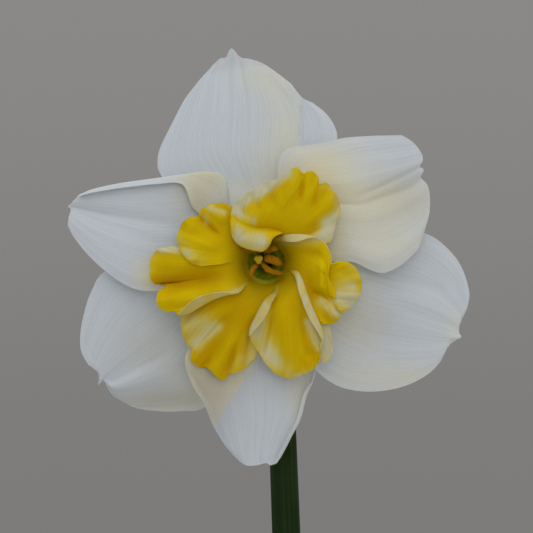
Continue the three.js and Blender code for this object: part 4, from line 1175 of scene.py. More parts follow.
tube_green, tree, base, streaks = streaky(
    "tube green", (0.24, 0.31, 0.07), (0.5, 0.54, 0.24), 0.5, 0.3, fine=2.4, drawn=0.08, rod=True,
    Subsurface_Weight=0.1, Subsurface_Scale=0.0008,
)
base = blend(tint(tree, "white"), base, (0.72, 0.73, 0.6))
dress(tube_green, base, streaks, 0.00006)

style_pale, tree, base, _ = streaky(
    "style pale", (0.36, 0.3, 0.03), (0.5, 0.42, 0.06), 0.5, 0.3, fine=2.5, drawn=0.2, rod=True,
)
base = blend(tint(tree, "stigma"), base, (0.58, 0.41, 0.006))
grains = speckle(own_place(tree), 0.0001, 2)
dress(style_pale, base, grains, 0.00006)

filament_pale, _, base, streaks = streaky(
    "filament pale", (0.34, 0.32, 0.04), (0.5, 0.46, 0.1), 0.5, 0.3, fine=2.5, drawn=0.2, rod=True,
)
dress(filament_pale, base, streaks, 0.00003)

pollen, tree = new_finish("pollen", 0.85, 0.03)
grains = speckle(own_place(tree), 0.00022, 3, 0.7)
base = blend(spread(grains, 0.35, 0.7), (0.24, 0.085, 0.001), (0.64, 0.3, 0.005))
base = clouds_over(base, 0.0015, 0.6, (0.5, 0.22, 0.004))
dress(pollen, base, grains, 0.0002)
print("finishes:", stem_green.name, tube_green.name, style_pale.name, filament_pale.name, pollen.name)

# %% [markdown]
# ## Collar and tube
# Behind the petals the flower narrows to a tube. Its mouth is a low collar that carries the six
# tepals, and six faint ribs run down it from the gaps between their feet. Both are turned shapes, so
# each is a profile of radii and depths swept about the bloom's axis.


# %% Collar and tube
def turned_rings(profile, sectors, ripple=None):
    """Rings about the bloom's axis from pairs of a radius and a depth."""
    profile = np.asarray(profile, float)
    turn = turns(sectors)
    r = profile[:, :1] * (1 if ripple is None else ripple(profile[:, 1:], turn[None, :]))
    rings = np.stack([r * np.cos(turn), profile[:, 1:] + 0 * turn, r * np.sin(turn)], axis=-1)
    return rings + BLOOM, turn


def finer(profile, count):
    """The same smooth line with more points."""
    return along(profile, np.linspace(0, 1, count))


COLLAR = [
    (4.55, -2.2), (4.5, 0), (4.6, 1.1), (5.6, 1.3), (6.5, 1), (6.85, 0), (6.7, -1.4), (6.1, -2.2),
    (5.3, -2.3), (4.65, -2.3),
]
collar_rings, turn = turned_rings(
    finer(COLLAR, 50), 96, lambda depth, turn: 0.99 + 0.008 * np.cos(6 * turn) + 0 * depth
)
blank = 0 * collar_rings[..., 0]
skin_piece(
    "collar", collar_rings, tepal_white, ["perianth"],
    {"cream": blank + 0.8, "yellow": blank + 0.25}, looped=True,
)

TUBE_INSIDE = [(1.65, 18.9), (1.8, 12), (2.4, 7.5), (3.2, 4.2), (4.4, 1.7)]
TUBE_OUTSIDE = [(5.4, 1.65), (4.7, 3), (3.9, 5), (3.1, 8), (2.65, 12), (2.5, 17), (2.4, 22)]
tube_profile = np.concatenate([finer(TUBE_INSIDE, 20), finer(TUBE_OUTSIDE, 60)])
tube_rings, turn = turned_rings(
    tube_profile, 96, lambda depth, turn: 1 + 0.03 * ease(1.7, 6, depth) * (np.cos(6 * turn) - 0.6)
)
depth = tube_profile[:, 1:] + 0 * turn
skin_piece(
    "tube", tube_rings, tube_green, ["floral_tube"],
    {"round": round_lines(depth / 3, turn + 0 * depth, 1), "white": 1 - ease(1.5, 9, depth)},
)

# %% [markdown]
# ## Stamens
# The anthers are what the eye finds in the throat. Each one is a narrow body with a groove down its
# face, brown with spent pollen, and it hangs on a pale filament. They were placed one by one from the
# picture.

# %% Stamens
STAMEN_RING = dict(radius=1.4, back=9)
# middle points along each anther on the picture, how far it stands back at both ends, and its radius
ANTHERS = [
    ([(262, 252), (251, 251), (240, 249.5)], (-4.3, -6), 0.48),
    ([(262, 249), (264, 246), (268, 243)], (-2.4, -3.2), 0.5),
    ([(265.5, 253.5), (270, 248.5), (277.5, 249.5)], (-3.9, -4.9), 0.8),
    ([(264, 256.5), (272, 260), (282.5, 264.5)], (-4.6, -5.1), 0.88),
    ([(261, 262.5), (269.5, 270.5), (283, 274)], (-4.3, -5.4), 0.56),
    ([(257.5, 263.5), (252.7, 269.5), (250.3, 279)], (-4.5, -5.9), 0.54),
]


def rod_piece(name, path, radii, sides, rows, finish, node, flat=1.0, swell=None, tints=None):
    """A rod with rounded ends, along a path in millimetres."""
    rings, t, turn = rod_rings(path, radii, sides, rows, flat, swell)
    walked = np.linalg.norm(np.diff(np.asarray(path, float), axis=0), axis=1).sum()
    whole = {"round": round_lines(t, turn, walked / np.mean(radii))}
    for key, make in (tints or {}).items():
        whole[key] = make(t, turn)
    return skin_piece(name, rings, finish, [node], whole)


def in_throat(pixels, depth):
    across, up = on_bloom(pixels)
    return np.array([across, depth, up])


for number, (pixels, depths, radius) in enumerate(ANTHERS, 1):
    body = [in_throat(p, d) for p, d in zip(pixels, (depths[0], sum(depths) / 2 - 0.25, depths[1]))]

    def grooved(t, turn, seed=number):
        lobes = 1 + 0.14 * np.cos(2 * turn) - 0.3 * np.exp(-((np.cos(turn / 2 + 2.4) / 0.2) ** 2))
        lobes = lobes - 0.22 * np.exp(-((np.cos(turn / 2 + 1.9) / 0.12) ** 2))
        return lobes * (1 + 0.2 * lumpy(8 * t, 5 * turn / math.pi, 400 + seed))

    rod_piece(
        f"anther_{number}", BLOOM + body, [r * radius for r in (0.25, 0.9, 1.0, 1.0, 0.95, 0.8, 0.25)],
        28, 40, pollen, "stamens", 0.85, grooved,
    )
    hang = mix(body[0], body[1], 0.8)
    wall = unit(np.array([hang[0], 0, hang[2]])) * STAMEN_RING["radius"]
    filament = [
        wall + (0, STAMEN_RING["back"], 0),
        wall * 1.3 + (0, 3, 0),
        (hang[0] * 0.72, -1, hang[2] * 0.72),
        hang,
    ]
    rod_piece(
        f"filament_{number}", BLOOM + filament, [0.36, 0.34, 0.3, 0.24], 14, 30, filament_pale,
        "stamens",
    )

# %% [markdown]
# ## Style and stigma
# The style stands in the middle and leans a little. It ends in a small stigma with three round lobes.

# %% Style and stigma
STIGMA_PX = (258.6, 259.6)
tip = in_throat(STIGMA_PX, -5.6)
style_path = [
    (0, 18.6, 0),
    (0, 9, 0),
    (tip[0] * 0.35, 2, tip[2] * 0.35),
    (tip[0] * 0.8, -3, tip[2] * 0.8),
    tip,
]
rod_piece(
    "style_rod", BLOOM + style_path, [0.5, 0.5, 0.5, 0.5, 0.48, 0.48, 0.48, 0.5], 30, 70, style_pale,
    "style", tints={"stigma": lambda t, turn: ease(0.84, 0.9, t)},
)

for number, turned in enumerate(np.radians([35, 155, 275]), 1):
    outwards = np.array([math.cos(turned), 0, math.sin(turned)])
    lobe = [tip + (0, 0.9, 0), tip + outwards * 0.42 + (0, 0.2, 0), tip + outwards * 0.74 + (0, -0.35, 0)]
    rod_piece(
        f"stigma_lobe_{number}", BLOOM + lobe, [0.3, 0.5, 0.62, 0.68, 0.6, 0.3], 24, 26, style_pale,
        "style", swell=lambda t, turn: 1 + 0.1 * lumpy(7 * t, 2 * turn, 480),
        tints={"stigma": lambda t, turn: 1 + 0 * t},
    )

# %% [markdown]
# ## Ovary and stalk
# The seed pod to be sits behind the tube, three-sided and swollen, and a short stalk bends down from
# it to the top of the scape. Both are one rod, whose radius swells and whose ring turns three-lobed
# where the ovary is.

# %% Ovary and stalk
PEDICEL = [
    (3.3, 42, -21.7), (3.1, 41.8, -14), (2.1, 39.3, -5.6), (0.9, 34.5, -0.9), (0.2, 29.5, 0), (0, 22.3, 0),
]
PEDICEL_RADII = [2.2, 2, 2, 2.1, 2.6, 3.5, 3.9, 3.5, 2.5]
rod_piece(
    "ovary_and_stalk", BLOOM + np.array(PEDICEL), PEDICEL_RADII, 60, 90, stem_green, "ovary",
    swell=lambda t, turn: 1 + 0.07 * ease(0.4, 0.65, t) * np.cos(3 * turn) + 0.012 * np.cos(12 * turn),
)

# %% [markdown]
# ## Papery spathe
# The bud was wrapped in a sheath that dries to tan paper as the flower opens. It still grips the top
# of the scape and gapes over the bend. It is a sheet bent round a path: wide at the foot, where it
# nearly closes, and narrow at its torn tip. The paper is thin and wrinkled, with dark veins.

# %% Spathe
SPATHE_PATH = [
    (3.4, 42, -25), (3.3, 42.2, -17), (2.6, 41, -6), (1.6, 35.5, 2.2), (0.6, 27, 5.6), (-0.6, 18.5, 9),
]
SPATHE_RADIUS = [4.4, 4.5, 4.9, 5.2, 4.6, 3.2, 1.6]
SPATHE_WRAP = [5.5, 5.1, 3.9, 3.1, 2.5, 1.9, 0.7]  # radians round the path

u, w = grid_of(np.linspace(0, 1, 90), np.linspace(0, 1, 76))
path = Edge(SPATHE_PATH)
middle_line = path.at(u)
tangent = unit(path.at(np.minimum(u + 0.002, 1)) - path.at(np.maximum(u - 0.002, 0)))
outward = np.stack([0 * u, 0 * u + 1, 0 * u], axis=-1) - tangent * tangent[..., 1:2]
outward[..., 2] += np.where(tangent[..., 1] < -0.1, -2.2 * tangent[..., 1], 0)
outward = unit(outward - tangent * (outward * tangent).sum(axis=-1, keepdims=True))
over = np.cross(tangent, outward)
wrinkles = 0.16 * lumpy(14 * w, 5 * u, 500) + 0.1 * lumpy(30 * w, 9 * u, 501)
torn = 1 - 0.05 * (1 + lumpy(17 * u, 3 * np.round(w), 502)) * ease(0.1, 0.3, u)
turn = (w - 0.5) * along(SPATHE_WRAP, u) * torn
radius = along(SPATHE_RADIUS, u) - 0.1 + wrinkles * ease(0, 0.1, u)
bent = middle_line + outward * (radius * np.cos(turn))[..., None]
bent = bent + over * (radius * np.sin(turn))[..., None]

spathe_paper, _, base, streaks = streaky(
    "spathe paper", (0.19, 0.11, 0.045), (0.5, 0.37, 0.2), 0.6, 0.25, fine=34, drawn=1.6,
    Subsurface_Weight=0.15, Subsurface_Scale=0.0005,
)
base = clouds_over(base, 0.006, 0.6, (0.56, 0.45, 0.28))
dress(spathe_paper, base, streaks, 0.00012)
half = mix(0.14, 0.09, u)
sheet_piece("papery_spathe", bent, half, spathe_paper, "spathe", u, w, at=BLOOM)

# %% [markdown]
# ## The scape
# The flower's stem is called a scape. It is hollow and slightly flattened, with a keel down each
# narrow side and fine ribs between, and its dark green is painted shade under the bloom. A rod does
# it, with an oval ring that carries the keels and the ribs.

# %% Scape
SCAPE_PATH = [
    (5, 1, 92.4), (5.4, 1, 130), (5.2, 1.2, 185), (3.2, 1.6, 255), (0.9, 2, 320), (-0.7, 2, 363),
]
SCAPE_RADII = [3.9, 3.8, 3.6, 3.5, 3.4, 3.2]
rod_piece(
    "stem", np.array(SCAPE_PATH), SCAPE_RADII, 88, 110, stem_green, "scape", 0.82,
    lambda t, turn: 0.97 + 0.05 * np.abs(np.cos(turn)) ** 14 + 0.008 * np.cos(22 * turn),
)

# %% [markdown]
# ## Six strap leaves
# The leaves are blue-green straps that stand in a fan, bend over and twist a little. A leaf is
# channelled on its inner face, keeled on its outer one, has parallel veins, and is thin at its
# margins, with a blunt tip that often turns brown. Each is a sheet along a curve whose lean grows
# towards the tip, as the weight of the leaf makes it.

# %% Leaves
FAN = 0.75  # how far the plane of the leaf fan is turned from across, in radians
BULB_AT = np.array([5.0, 1.0, 0.0])
LEAF_FOOT = 92.3
LEAF_SAMPLES = 48
LEAF_ROWS, LEAF_COLUMNS = 120, 45
CHANNEL = 1.5
# millimetres along the fan, length, width, lean, bend, turn and twist in radians
LEAVES = [
    (-5.6, 226, 12.5, 0.05, 0.42, 0.25, 0.5),
    (-8.6, 205, 13, 0.1, 0.85, -0.2, -0.35),
    (-11.4, 168, 11.6, 0.2, 1.35, 0.1, 0.3),
    (5.6, 216, 12, 0.06, 0.5, -0.3, -0.6),
    (8.6, 232, 13, 0.13, 1.0, 0.22, 0.4),
    (11.4, 182, 12, 0.24, 1.15, -0.15, 0.25),
]

leaf_green, tree, base, streaks = streaky(
    "leaf green", (0.03, 0.085, 0.042), (0.062, 0.14, 0.072), 0.42, 0.4, fine=26, drawn=2.2,
    Coat_Weight=0.08, Coat_Roughness=0.4,
)
base = clouds_over(base, 0.03, 0.45, (0.1, 0.175, 0.125))
base = blend(tint(tree, "foot"), base, (0.36, 0.4, 0.16))
base = blend(tint(tree, "yellowing"), base, (0.22, 0.23, 0.035))
base = blend(tint(tree, "dry"), base, (0.27, 0.16, 0.06))
dress(leaf_green, base, streaks, 0.0001)


print("leaves to make:", len(LEAVES))

# %% [markdown]
# ## From a curve to a leaf
# The curve is walked in short steps that lean more and more. The sheet lies across it, twisted a
# little, and its thickness carries the keel and the veins.


# %% Leaf helpers
def leaf_track(place, length, lean, bend, turn):
    """A leaf's curve from foot to tip, and the way it heads along it."""
    away = math.copysign(1, place)
    share = np.arange(LEAF_SAMPLES + 1) / LEAF_SAMPLES
    free = ease(0.06, 0.3, share)
    tilt = (lean * free + bend * np.maximum(0, share - 0.1) ** 1.7) * away
    heading = np.stack([np.cos(FAN + turn * free), np.sin(FAN + turn * free), 0 * free], axis=-1)
    step = heading * np.sin(tilt)[:, None] + np.array([0, 0, 1]) * np.cos(tilt)[:, None]
    foot = BULB_AT + (place * math.cos(FAN), place * math.sin(FAN), LEAF_FOOT)
    walked = np.cumsum(step[1:] * length / LEAF_SAMPLES, axis=0)
    return np.concatenate([[foot], foot + walked]), heading


def make_leaf(number, place, length, width, lean, bend, turn, twist):
    """A leaf: a sheet across its curve, with a channel, a keel and veins, and its tints."""
    track, heading = leaf_track(place, length, lean, bend, turn)
    rounded = 0.5 * width * 0.24 / length
    us = 1 - (1 - np.linspace(0, 1, LEAF_ROWS)) ** 1.1
    tip_rows = 1 - rounded * (1 - np.sin(np.linspace(0, math.pi / 2, 12)))
    us = np.sort(np.concatenate([us[us < 1 - rounded], tip_rows]))
    u, w = grid_of(us, np.linspace(0, 1, LEAF_COLUMNS))
    line = along(track, u)
    tangent = unit(along(track, np.minimum(u + 0.004, 1)) - along(track, np.maximum(u - 0.004, 0)))
    level = unit(np.cross((0, 0, 1), along(heading, u)))
    face = unit(np.cross(level, tangent))
    spin = (twist * ease(0.15, 1, u))[..., None]
    across = level * np.cos(spin) + face * np.sin(spin)
    normal = np.cross(tangent, across)
    half = (width / 2) * mix(0.86, 1, ease(0, 0.25, u)) * mix(1, 0.2, ease(0.62, 1, u) ** 1.5)
    beyond = np.clip((u - 1 + rounded) / rounded, 0, 1)
    half = half * np.sqrt(np.maximum(1 - beyond**2, 0.004))
    side = 2 * w - 1
    rise = CHANNEL * (1 - 0.6 * u) * ease(0.03, 0.2, u) * side**2 * -math.copysign(1, place)
    rise = rise + 0.25 * lumpy(7 * u, w, 600 + number) * side**2 * ease(0.15, 0.4, u)
    middle = line + across * (half * side)[..., None] + normal * rise[..., None]
    body = mix(1.7, 0.8, u) / 2
    veins = 0.03 * np.cos(TURN * 12 * w) + 0.12 * np.exp(-((side / 0.1) ** 2))
    thick = mix(0.16, body, 1 - np.abs(side) ** 2.6) + veins * (1 - side**4)
    thick = thick * mix(1, 0.3, beyond)
    fray = u + 0.006 * lumpy(9 * w, 3 * u, 610 + number)
    tints = {
        "foot": 0.85 * (1 - ease(0.02, 0.16, u)),
        "yellowing": 0.7 * ease(0.955, 0.99, fray),
        "dry": 0.95 * ease(0.982, 0.992, fray),
    }
    name, node = f"leaf_blade_{number}", f"leaf_{number}"
    sheet_piece(name, middle, thick, leaf_green, node, 4 * u, w, tints)


for number, spec in enumerate(LEAVES, 1):
    make_leaf(number, *spec)

# %% [markdown]
# ## The bulb
# Only the bulb's neck shows, where the leaves come out of it: brown papery skins that wrinkle, lie
# over each other and are torn along their upper edge. The rest sits in the compost. Its skin is a
# stack of oval rings, and the last rings turn inwards to make the socket that holds the leaves.

# %% Bulb
NECK_TOP = 107
# height, half length along the fan, half width across it, and squareness
BULB_RINGS = [
    (36, 5, 5, 0), (38, 10, 9.5, 0), (44, 17.5, 16, 0), (54, 22, 20, 0), (65, 21.5, 18.5, 0),
    (76, 18.5, 14.5, 0.1), (86, 16.8, 11.5, 0.25), (95, 16.2, 10, 0.35), (NECK_TOP, 16, 9.7, 0.35),
]
SOCKET_RINGS = [(NECK_TOP, 14.9, 8.6, 0.35), (103, 14.5, 8.2, 0.35), (92, 14.4, 8.1, 0.35)]


def oval_rings(rows, turn, grow=0.0):
    """Rings round the bulb from rows of a height, two radii and a squareness, at turns from across."""
    height, length, width, square = (rows[:, k : k + 1] for k in range(4))
    c, s = np.cos(turn - FAN), np.sin(turn - FAN)
    a = (length + grow) * np.sign(c) * np.abs(c) ** (1 - square)
    b = (width + grow) * np.sign(s) * np.abs(s) ** (1 - square)
    x = a * math.cos(FAN) - b * math.sin(FAN)
    y = a * math.sin(FAN) + b * math.cos(FAN)
    return np.stack([x, y, height + 0 * a], axis=-1) + BULB_AT


OUTER_ROWS, SOCKET_ROWS, BULB_SIDES = 84, 18, 144
turn = turns(BULB_SIDES)
outside = oval_rings(finer(BULB_RINGS, OUTER_ROWS), turn)
inside = oval_rings(finer(SOCKET_RINGS, SOCKET_ROWS), turn)
rows = np.linspace(0, 1, OUTER_ROWS)[:, None]
around = BULB_SIDES / TURN * turn
layers = 0.25 * lumpy(around / 9, 4 * rows, 700) + 0.14 * lumpy(around / 2.2, 9 * rows, 701)
overlap = sum(ease(at, at + 0.6, around) * (1 - ease(at + 6, at + 16, around)) for at in (14, 61, 100))
layers = layers + 0.3 * overlap * ease(0.5, 0.8, rows) - 0.4
outside = outside + unit(outside - BULB_AT - outside[..., 2:] * (0, 0, 1)) * layers[..., None]
torn = 1.5 - 3.4 * (0.5 + 0.5 * lumpy(around / 11, 0, 702))
torn = torn + 0.9 * lumpy(around / 2.4, 0, 703) - 1.2 * overlap
outside[..., 2] -= torn * ease(0.8, 1, rows)
inside[..., 2] -= (torn + 0.1) * (1 - ease(0, 0.6, np.linspace(0, 1, SOCKET_ROWS)[:, None]))

tunic, tree = new_finish("tunic", 0.42, 0.4, Subsurface_Weight=0.1, Subsurface_Scale=0.0006)
place = own_place(tree)
fibres = speckle(stretched(place, 1, 1, 0.12), 0.0007, 3, 0.55)
wrinkles = speckle(stretched(place, 1, 1, 0.35), 0.0035, 3)
base = blend(spread(wrinkles, 0.3, 0.7), (0.15, 0.06, 0.022), (0.42, 0.25, 0.12))
base = blend(spread(fibres, 0.5, 0.7, 0, 0.6), base, (0.1, 0.04, 0.015))
base = clouds_over(base, 0.006, 0.6, (0.52, 0.37, 0.2))
relief = plus(times(fibres, 0.4), wrinkles)
dress(tunic, base, relief, 0.0006)
skin_piece("bulb_skin", np.concatenate([outside, inside]), tunic, ["bulb"])

# %% [markdown]
# ## Clay pot
# A plain thrown pot: a tapered wall, a thick rim band and three drain holes. Fired clay has fine
# turning lines, a rim that isn't quite true, small chips, and pale lime where water dries through it.
# The profile's corners are rounded, swept about the pot's axis, and the drain holes are cut out.

# %% Pot
FOOT_RADIUS, RIM_RADIUS, POT_HEIGHT, SHOULDER = 41, 61, 112, 90
INNER_FLOOR, FLOOR_HEIGHT = 37.47, 8
# radius, height and how far from the corner its rounding starts
POT_PROFILE = [
    (0.5, 0, 0), (FOOT_RADIUS, 0, 1.6), (57.5, SHOULDER, 0.9), (60.2, SHOULDER + 0.6, 1.2),
    (RIM_RADIUS, POT_HEIGHT, 2.2), (54.2, POT_HEIGHT, 2.4), (INNER_FLOOR, FLOOR_HEIGHT, 2.5),
    (0.5, FLOOR_HEIGHT, 0),
]
DRAIN_RING, DRAIN_RADIUS = 23, 4.5
POT_SIDES, DRAIN_SIDES = 150, 40


def rounded_line(corners, spacing=1.4):
    """Points along a line whose corners are rounded, no further apart than the spacing."""
    places = np.array([c[:2] for c in corners], float)
    line = [places[0]]
    for k in range(1, len(places) - 1):
        back, on = unit(places[k - 1] - places[k]), unit(places[k + 1] - places[k])
        a, b = places[k] + back * corners[k][2], places[k] + on * corners[k][2]
        line += [mix(mix(a, places[k], t), mix(places[k], b, t), t) for t in np.linspace(0, 1, 7)]
    line.append(places[-1])
    fine = [line[0]]
    for a, b in zip(line, line[1:]):
        pieces = max(1, math.ceil(np.linalg.norm(b - a) / spacing))
        fine += [mix(a, b, k / pieces) for k in range(1, pieces + 1)]
    return np.array(fine)


turn = turns(POT_SIDES)
pot_line = rounded_line(POT_PROFILE)
r, z = pot_line[:, :1], pot_line[:, 1:]
turning = 0.06 * np.sin(z * 2.1 + 0.6 * np.sin(z * 0.7)) + 0.05 * np.sin(z * 5.3)
walls = ease(5, 12, z) * ease(30, 40, r)
untrue = -0.25 + 0.16 * np.cos(2 * turn + 1) + 0.08 * np.cos(5 * turn)
chips = sum(
    depth * np.exp(-(((turn - at + math.pi) % TURN - math.pi) / wide) ** 2)
    for at, wide, depth in ((0.7, 0.03, 0.9), (2.9, 0.045, 1.2), (4.45, 0.02, 0.7))
)
reach = r + (turning + untrue) * walls
edge = ease(108, 111.5, z) * ease(57.5, 60.5, r)
reach = reach - chips * edge
lowered = z - 0.7 * chips * edge + 0 * turn
pot_rings = np.stack([reach * np.cos(turn), reach * np.sin(turn), lowered], axis=-1)

print("points in the pot's profile:", len(pot_line))

# %% [markdown]
# ## Fired clay
# Clay shows grit, bands left by the turning, pale lime near the foot and the rim, and damp patches.
# Each is noise of its own size, laid over the last one.

# %% Clay
clay, tree = new_finish("clay", 0.88, 0.2)
place = own_place(tree)
height = height_of(place)
grit = speckle(place, 0.0007, 4, 0.7)
bands = speckle(stretched(place, 0.05, 0.05, 1), 0.0016, 3)
patches = speckle(place, 0.025, 5, 0.6)
base = blend(spread(grit, 0.3, 0.7), (0.36, 0.12, 0.05), (0.52, 0.21, 0.1))
base = blend(spread(bands, 0.35, 0.7, 0, 0.4), base, (0.58, 0.27, 0.15))
low_lime = spread(height, 0.045, 0.0, 0, 0.3)
lime = plus(low_lime, spread(height, 0.085, 0.112, 0, 0.22))
lime = times(lime, spread(patches, 0.35, 0.62, 0.2, 2.4), True)
base = blend(lime, base, (0.66, 0.58, 0.5))
damp = spread(patches, 0.6, 0.3, 0, 0.5)
base = blend(damp, base, (0.26, 0.085, 0.04))
relief = plus(grit, times(bands, 1.3))
dress(clay, base, relief, 0.00025)
pot = skin_piece("clay_pot", pot_rings, clay, ["pot"], sharp=40)

# %% [markdown]
# ## Drain holes
# A hole could be left open in the turned mesh, but its edge would follow the mesh's lines. A cylinder
# cuts a round one. The cut is made for good, so that the piece is a plain mesh.


# %% Drain holes
def cut(piece, cutters):
    """Takes cutters away from a piece for good."""
    for cutter in cutters:
        taken = piece.modifiers.new("cut", "BOOLEAN")
        taken.operation = "DIFFERENCE"
        taken.object = cutter
    shaped = piece.evaluated_get(bpy.context.evaluated_depsgraph_get())
    shaped = bpy.data.meshes.new_from_object(shaped)
    piece.modifiers.clear()
    piece.data = shaped
    for cutter in cutters:
        bpy.data.objects.remove(cutter)


drills = []
for index in range(3):
    turned = TURN * (index + 0.25) / 3
    around = turns(DRAIN_SIDES)
    x = DRAIN_RING * math.cos(turned) + DRAIN_RADIUS * np.cos(around)
    y = DRAIN_RING * math.sin(turned) + DRAIN_RADIUS * np.sin(around)
    points, faces = ring_mesh(np.array([np.stack([x, y, 0 * x + z], axis=-1) for z in (-4, 12)]) * MM)
    drill = bpy.data.meshes.new("drill")
    drill.from_pydata(points.tolist(), [], [list(map(int, f)) for f in faces])
    drills.append(in_scene("drill", drill))
cut(pot, drills)
print("pot with its drain holes:", len(pot.data.polygons), "faces")

# %% [markdown]
# ## Compost
# Potting compost is dark and crumbly: clods of peat, shreds of bark and white grains of perlite. Its
# top is a disc with a hole round the bulb, made rough by noise, and loose crumbs lie on it.

# %% Compost
SOIL_TOP = 99
SOIL_FLOOR = FLOOR_HEIGHT + 0.3
BULB_GAP = 0.42
SOIL_SIDES, SOIL_ROWS = 240, 56


def inner_radius(z):
    return mix(INNER_FLOOR, 54, (z - FLOOR_HEIGHT) / (POT_HEIGHT - 2 - FLOOR_HEIGHT))


def soil_height(x, y):
    lumps = np.sin(x * 0.31 + 1.3) * np.cos(y * 0.27) + 0.6 * np.sin(x * 0.67 - y * 0.53)
    mound = 2.5 * np.exp(-((x - BULB_AT[0]) ** 2 + (y - BULB_AT[1]) ** 2) / 700)
    return SOIL_TOP + 0.9 * lumps + mound


def rough(x, y):
    """Height of the crumbly grain at one place, in millimetres."""
    clods = noise.fractal(Vector((x / 5, y / 5, 0.3)), 0.7, 2.1, 5)
    return 0.75 * clods + 0.3 * abs(noise.noise(Vector((x / 1.3, y / 1.3, 4))))


turn = turns(SOIL_SIDES)
wall_ring = np.stack([np.cos(turn), np.sin(turn)], axis=-1)
edge_radius = inner_radius(SOIL_TOP - 2) - 0.5
collar_ring = oval_rings(np.array([(102, 16.1, 9.85, 0.35)]), turn, BULB_GAP)[0]
shares = np.linspace(0, 1, SOIL_ROWS)[:, None, None]
top = mix(collar_ring[:, :2], wall_ring * edge_radius, shares)
x, y = top[..., 0], top[..., 1]
grain = np.array([[rough(a, b) for a, b in zip(*row)] for row in zip(x, y)])
z = soil_height(x, y) + grain - 1.4 * ease(0.85, 1, shares[..., 0])
top = np.stack([x, y, z], axis=-1)
buried = oval_rings(finer([r for r in BULB_RINGS if r[0] < 100], 20), turn, BULB_GAP)
wall = np.array([
    np.stack([*(wall_ring.T * (inner_radius(h) - 0.5)), 0 * turn + h], axis=-1)
    for h in np.linspace(SOIL_TOP - 4, SOIL_FLOOR, 10)
])

soil_dark, tree = new_finish("soil dark", 0.95, 0.12)
place = own_place(tree)
crumbs = speckle(place, 0.0016, 5, 0.7)
base = blend(spread(crumbs, 0.3, 0.72), (0.012, 0.007, 0.004), (0.06, 0.036, 0.02))
base = clouds_over(base, 0.012, 0.5, (0.035, 0.02, 0.012))
bark_brown = blend(spread(crumbs, 0.35, 0.65), (0.09, 0.04, 0.018), (0.24, 0.13, 0.06))
base = blend(tint(tree, "bark"), base, bark_brown)
base = blend(tint(tree, "perlite"), base, (0.74, 0.73, 0.69))
dress(soil_dark, base, crumbs, 0.0008)
soil_rings = np.concatenate([buried, top, wall])
blank = 0 * soil_rings[..., 0]
soil_tints = {"bark": blank, "perlite": blank}
skin_piece("compost", soil_rings, soil_dark, ["soil"], soil_tints, sharp=80)

# %% [markdown]
# ## Loose crumbs
# Each crumb is a small ball pushed out of shape, some drawn out into shreds of bark. They are joined
# into one mesh. The same seed gives the same crumbs each time.

# %% Loose crumbs
CRUMBS = 760
SHREDS_FROM, PERLITE_FROM = 0.76, 0.94  # of all crumbs, clods come first, then bark, then perlite


def ball(rows=6, sides=9):
    """A ball of radius 1 as rings of points."""
    lift, turn = grid_of(np.linspace(0.25, math.pi - 0.25, rows), turns(sides))
    return np.stack([np.sin(lift) * np.cos(turn), np.sin(lift) * np.sin(turn), np.cos(lift)], axis=-1)


random.seed(11)
plain_ball = ball()
points, faces, bark, perlite = [], [], [], []
for _ in range(CRUMBS):
    share = math.sqrt(random.uniform(0.02, 0.97))
    column = random.randrange(len(turn))
    row = int(share * (len(shares) - 1))
    x, y, z = top[row, column]
    kind = random.random()
    shred = SHREDS_FROM <= kind < PERLITE_FROM
    size = 0.45 + 1.9 * random.random() ** 2.5 if kind < SHREDS_FROM else random.uniform(0.55, 1.3)
    stretch, uneven = (1, 0.8, 0.7), 0.4
    if shred:
        stretch = (random.uniform(1.3, 3.2), random.uniform(0.5, 1), random.uniform(0.25, 0.45))
        uneven = 0.55
    spin = random.uniform(0, TURN)
    seed = Vector((random.random(), random.random(), random.random())) * 50
    bumps = [1 + uneven * noise.noise(Vector(p) * 1.9 + seed) for p in plain_ball.reshape(-1, 3)]
    shaped = plain_ball * np.reshape(bumps, plain_ball.shape[:2])[..., None] * stretch * size
    c, s = math.cos(spin), math.sin(spin)
    shaped = shaped @ np.array([[c, s, 0], [-s, c, 0], [0, 0, 1]])
    body, skin = ring_mesh(shaped + (x, y, z + 0.3 * size))
    start = sum(len(p) for p in points)
    points.append(body)
    faces += [tuple(i + start for i in f) for f in skin]
    bark.append(np.full(len(body), random.uniform(0.15, 1) if shred else 0.0))
    perlite.append(np.full(len(body), 1.0 if kind >= PERLITE_FROM else 0.0))
points, bark, perlite = (np.concatenate(part) for part in (points, bark, perlite))
crumb_tints = {"bark": bark, "perlite": perlite}
make_piece("compost_crumbs", points, faces, soil_dark, ["soil"], crumb_tints, sharp=80)

# %% [markdown]
# ## The background
# The picture was taken in soft daylight before a plain grey wall. A grey world gives the wall's own
# colour behind the bloom, a little lighter towards the top, with a dim room behind the camera and a
# bright sky above.

# %% Background
WALL_TOP = (0.252, 0.248, 0.241)
WALL_BOTTOM = (0.203, 0.200, 0.194)
ROOM = (0.15, 0.15, 0.15)
SKY = (0.75, 0.79, 0.86)

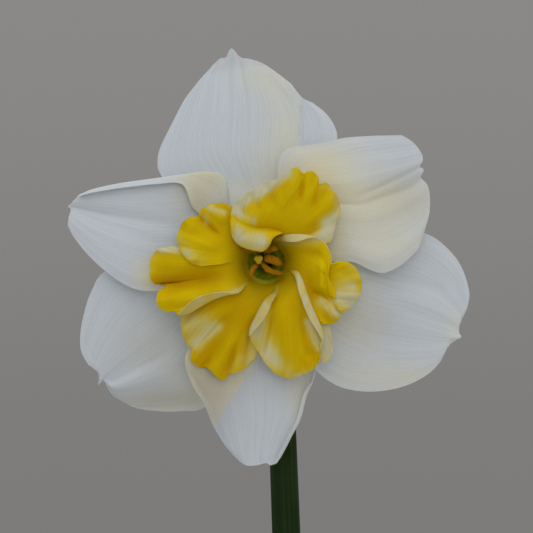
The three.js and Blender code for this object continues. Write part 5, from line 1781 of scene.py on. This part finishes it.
world = bpy.data.worlds.new("studio")
bpy.context.scene.world = world
world.use_nodes = True
tree = world.node_tree
towards = add(tree, "ShaderNodeTexCoord").outputs["Generated"]
axes = add(tree, "ShaderNodeSeparateXYZ", {0: towards}).outputs
height = axes["Z"]
wall = blend(spread(height, -0.09, 0.09), WALL_BOTTOM, WALL_TOP)
wall = blend(spread(axes["Y"], 0.6, -0.2), wall, ROOM)
wall = blend(spread(height, 0.35, 0.85), wall, SKY)
tree.links.new(wall, tree.nodes["Background"].inputs["Color"])

print("background:", world.name)

# %% [markdown]
# ## The floor
# The floor is a pale disc that ends before it would rise into the camera's view.

# %% Floor
FLOOR_RADIUS = 2.9  # metres

floor = bpy.data.meshes.new("floor")
rim = [(FLOOR_RADIUS * math.cos(a), FLOOR_RADIUS * math.sin(a), 0) for a in turns(96)]
floor.from_pydata(rim, [], [range(96)])
floor = in_scene("floor", floor)
floor_pale, tree = new_finish("floor pale", 0.8, 0.2)
grain = speckle(own_place(tree), 0.5, 4)
dress(floor_pale, blend(grain, (0.5, 0.49, 0.48), (0.56, 0.55, 0.54)))
floor.data.materials.append(floor_pale)


print("floor:", FLOOR_RADIUS, "m to its edge")

# %% [markdown]
# ## The lamps
# Wide lamps above and at the side give the soft shadows, and one near the camera lights the creases
# between the petals. A lamp behind the plant lights it for views from there.


# %% Lamps
def lamp(name, place, target, size, watts, colour):
    """A wide soft lamp that the camera doesn't see."""
    light = bpy.data.lights.new(name, "AREA")
    light.shape = "DISK"
    light.size = size
    light.energy = watts
    light.color = colour
    made = in_scene(name, light)
    made.location = place
    towards = Vector(target) - Vector(place)
    made.rotation_euler = towards.to_track_quat("-Z", "Y").to_euler()
    made.visible_camera = False


middle_of_bloom = Vector(BLOOM) * MM
lamp("window", (-0.7, -1.2, 1.9), middle_of_bloom, 2.4, 7.1, (0.93, 0.97, 1.0))
lamp("bounce", (1.3, -1.2, 0.5), middle_of_bloom, 2.0, 3.6, (1.0, 0.95, 0.88))
lamp("front", (0.05, -1.3, 0.7), middle_of_bloom, 0.8, 2.1, (1.0, 1.0, 1.0))
lamp("back", (0.8, 1.4, 1.2), middle_of_bloom, 1.8, 5.0, (1.0, 1.0, 1.0))
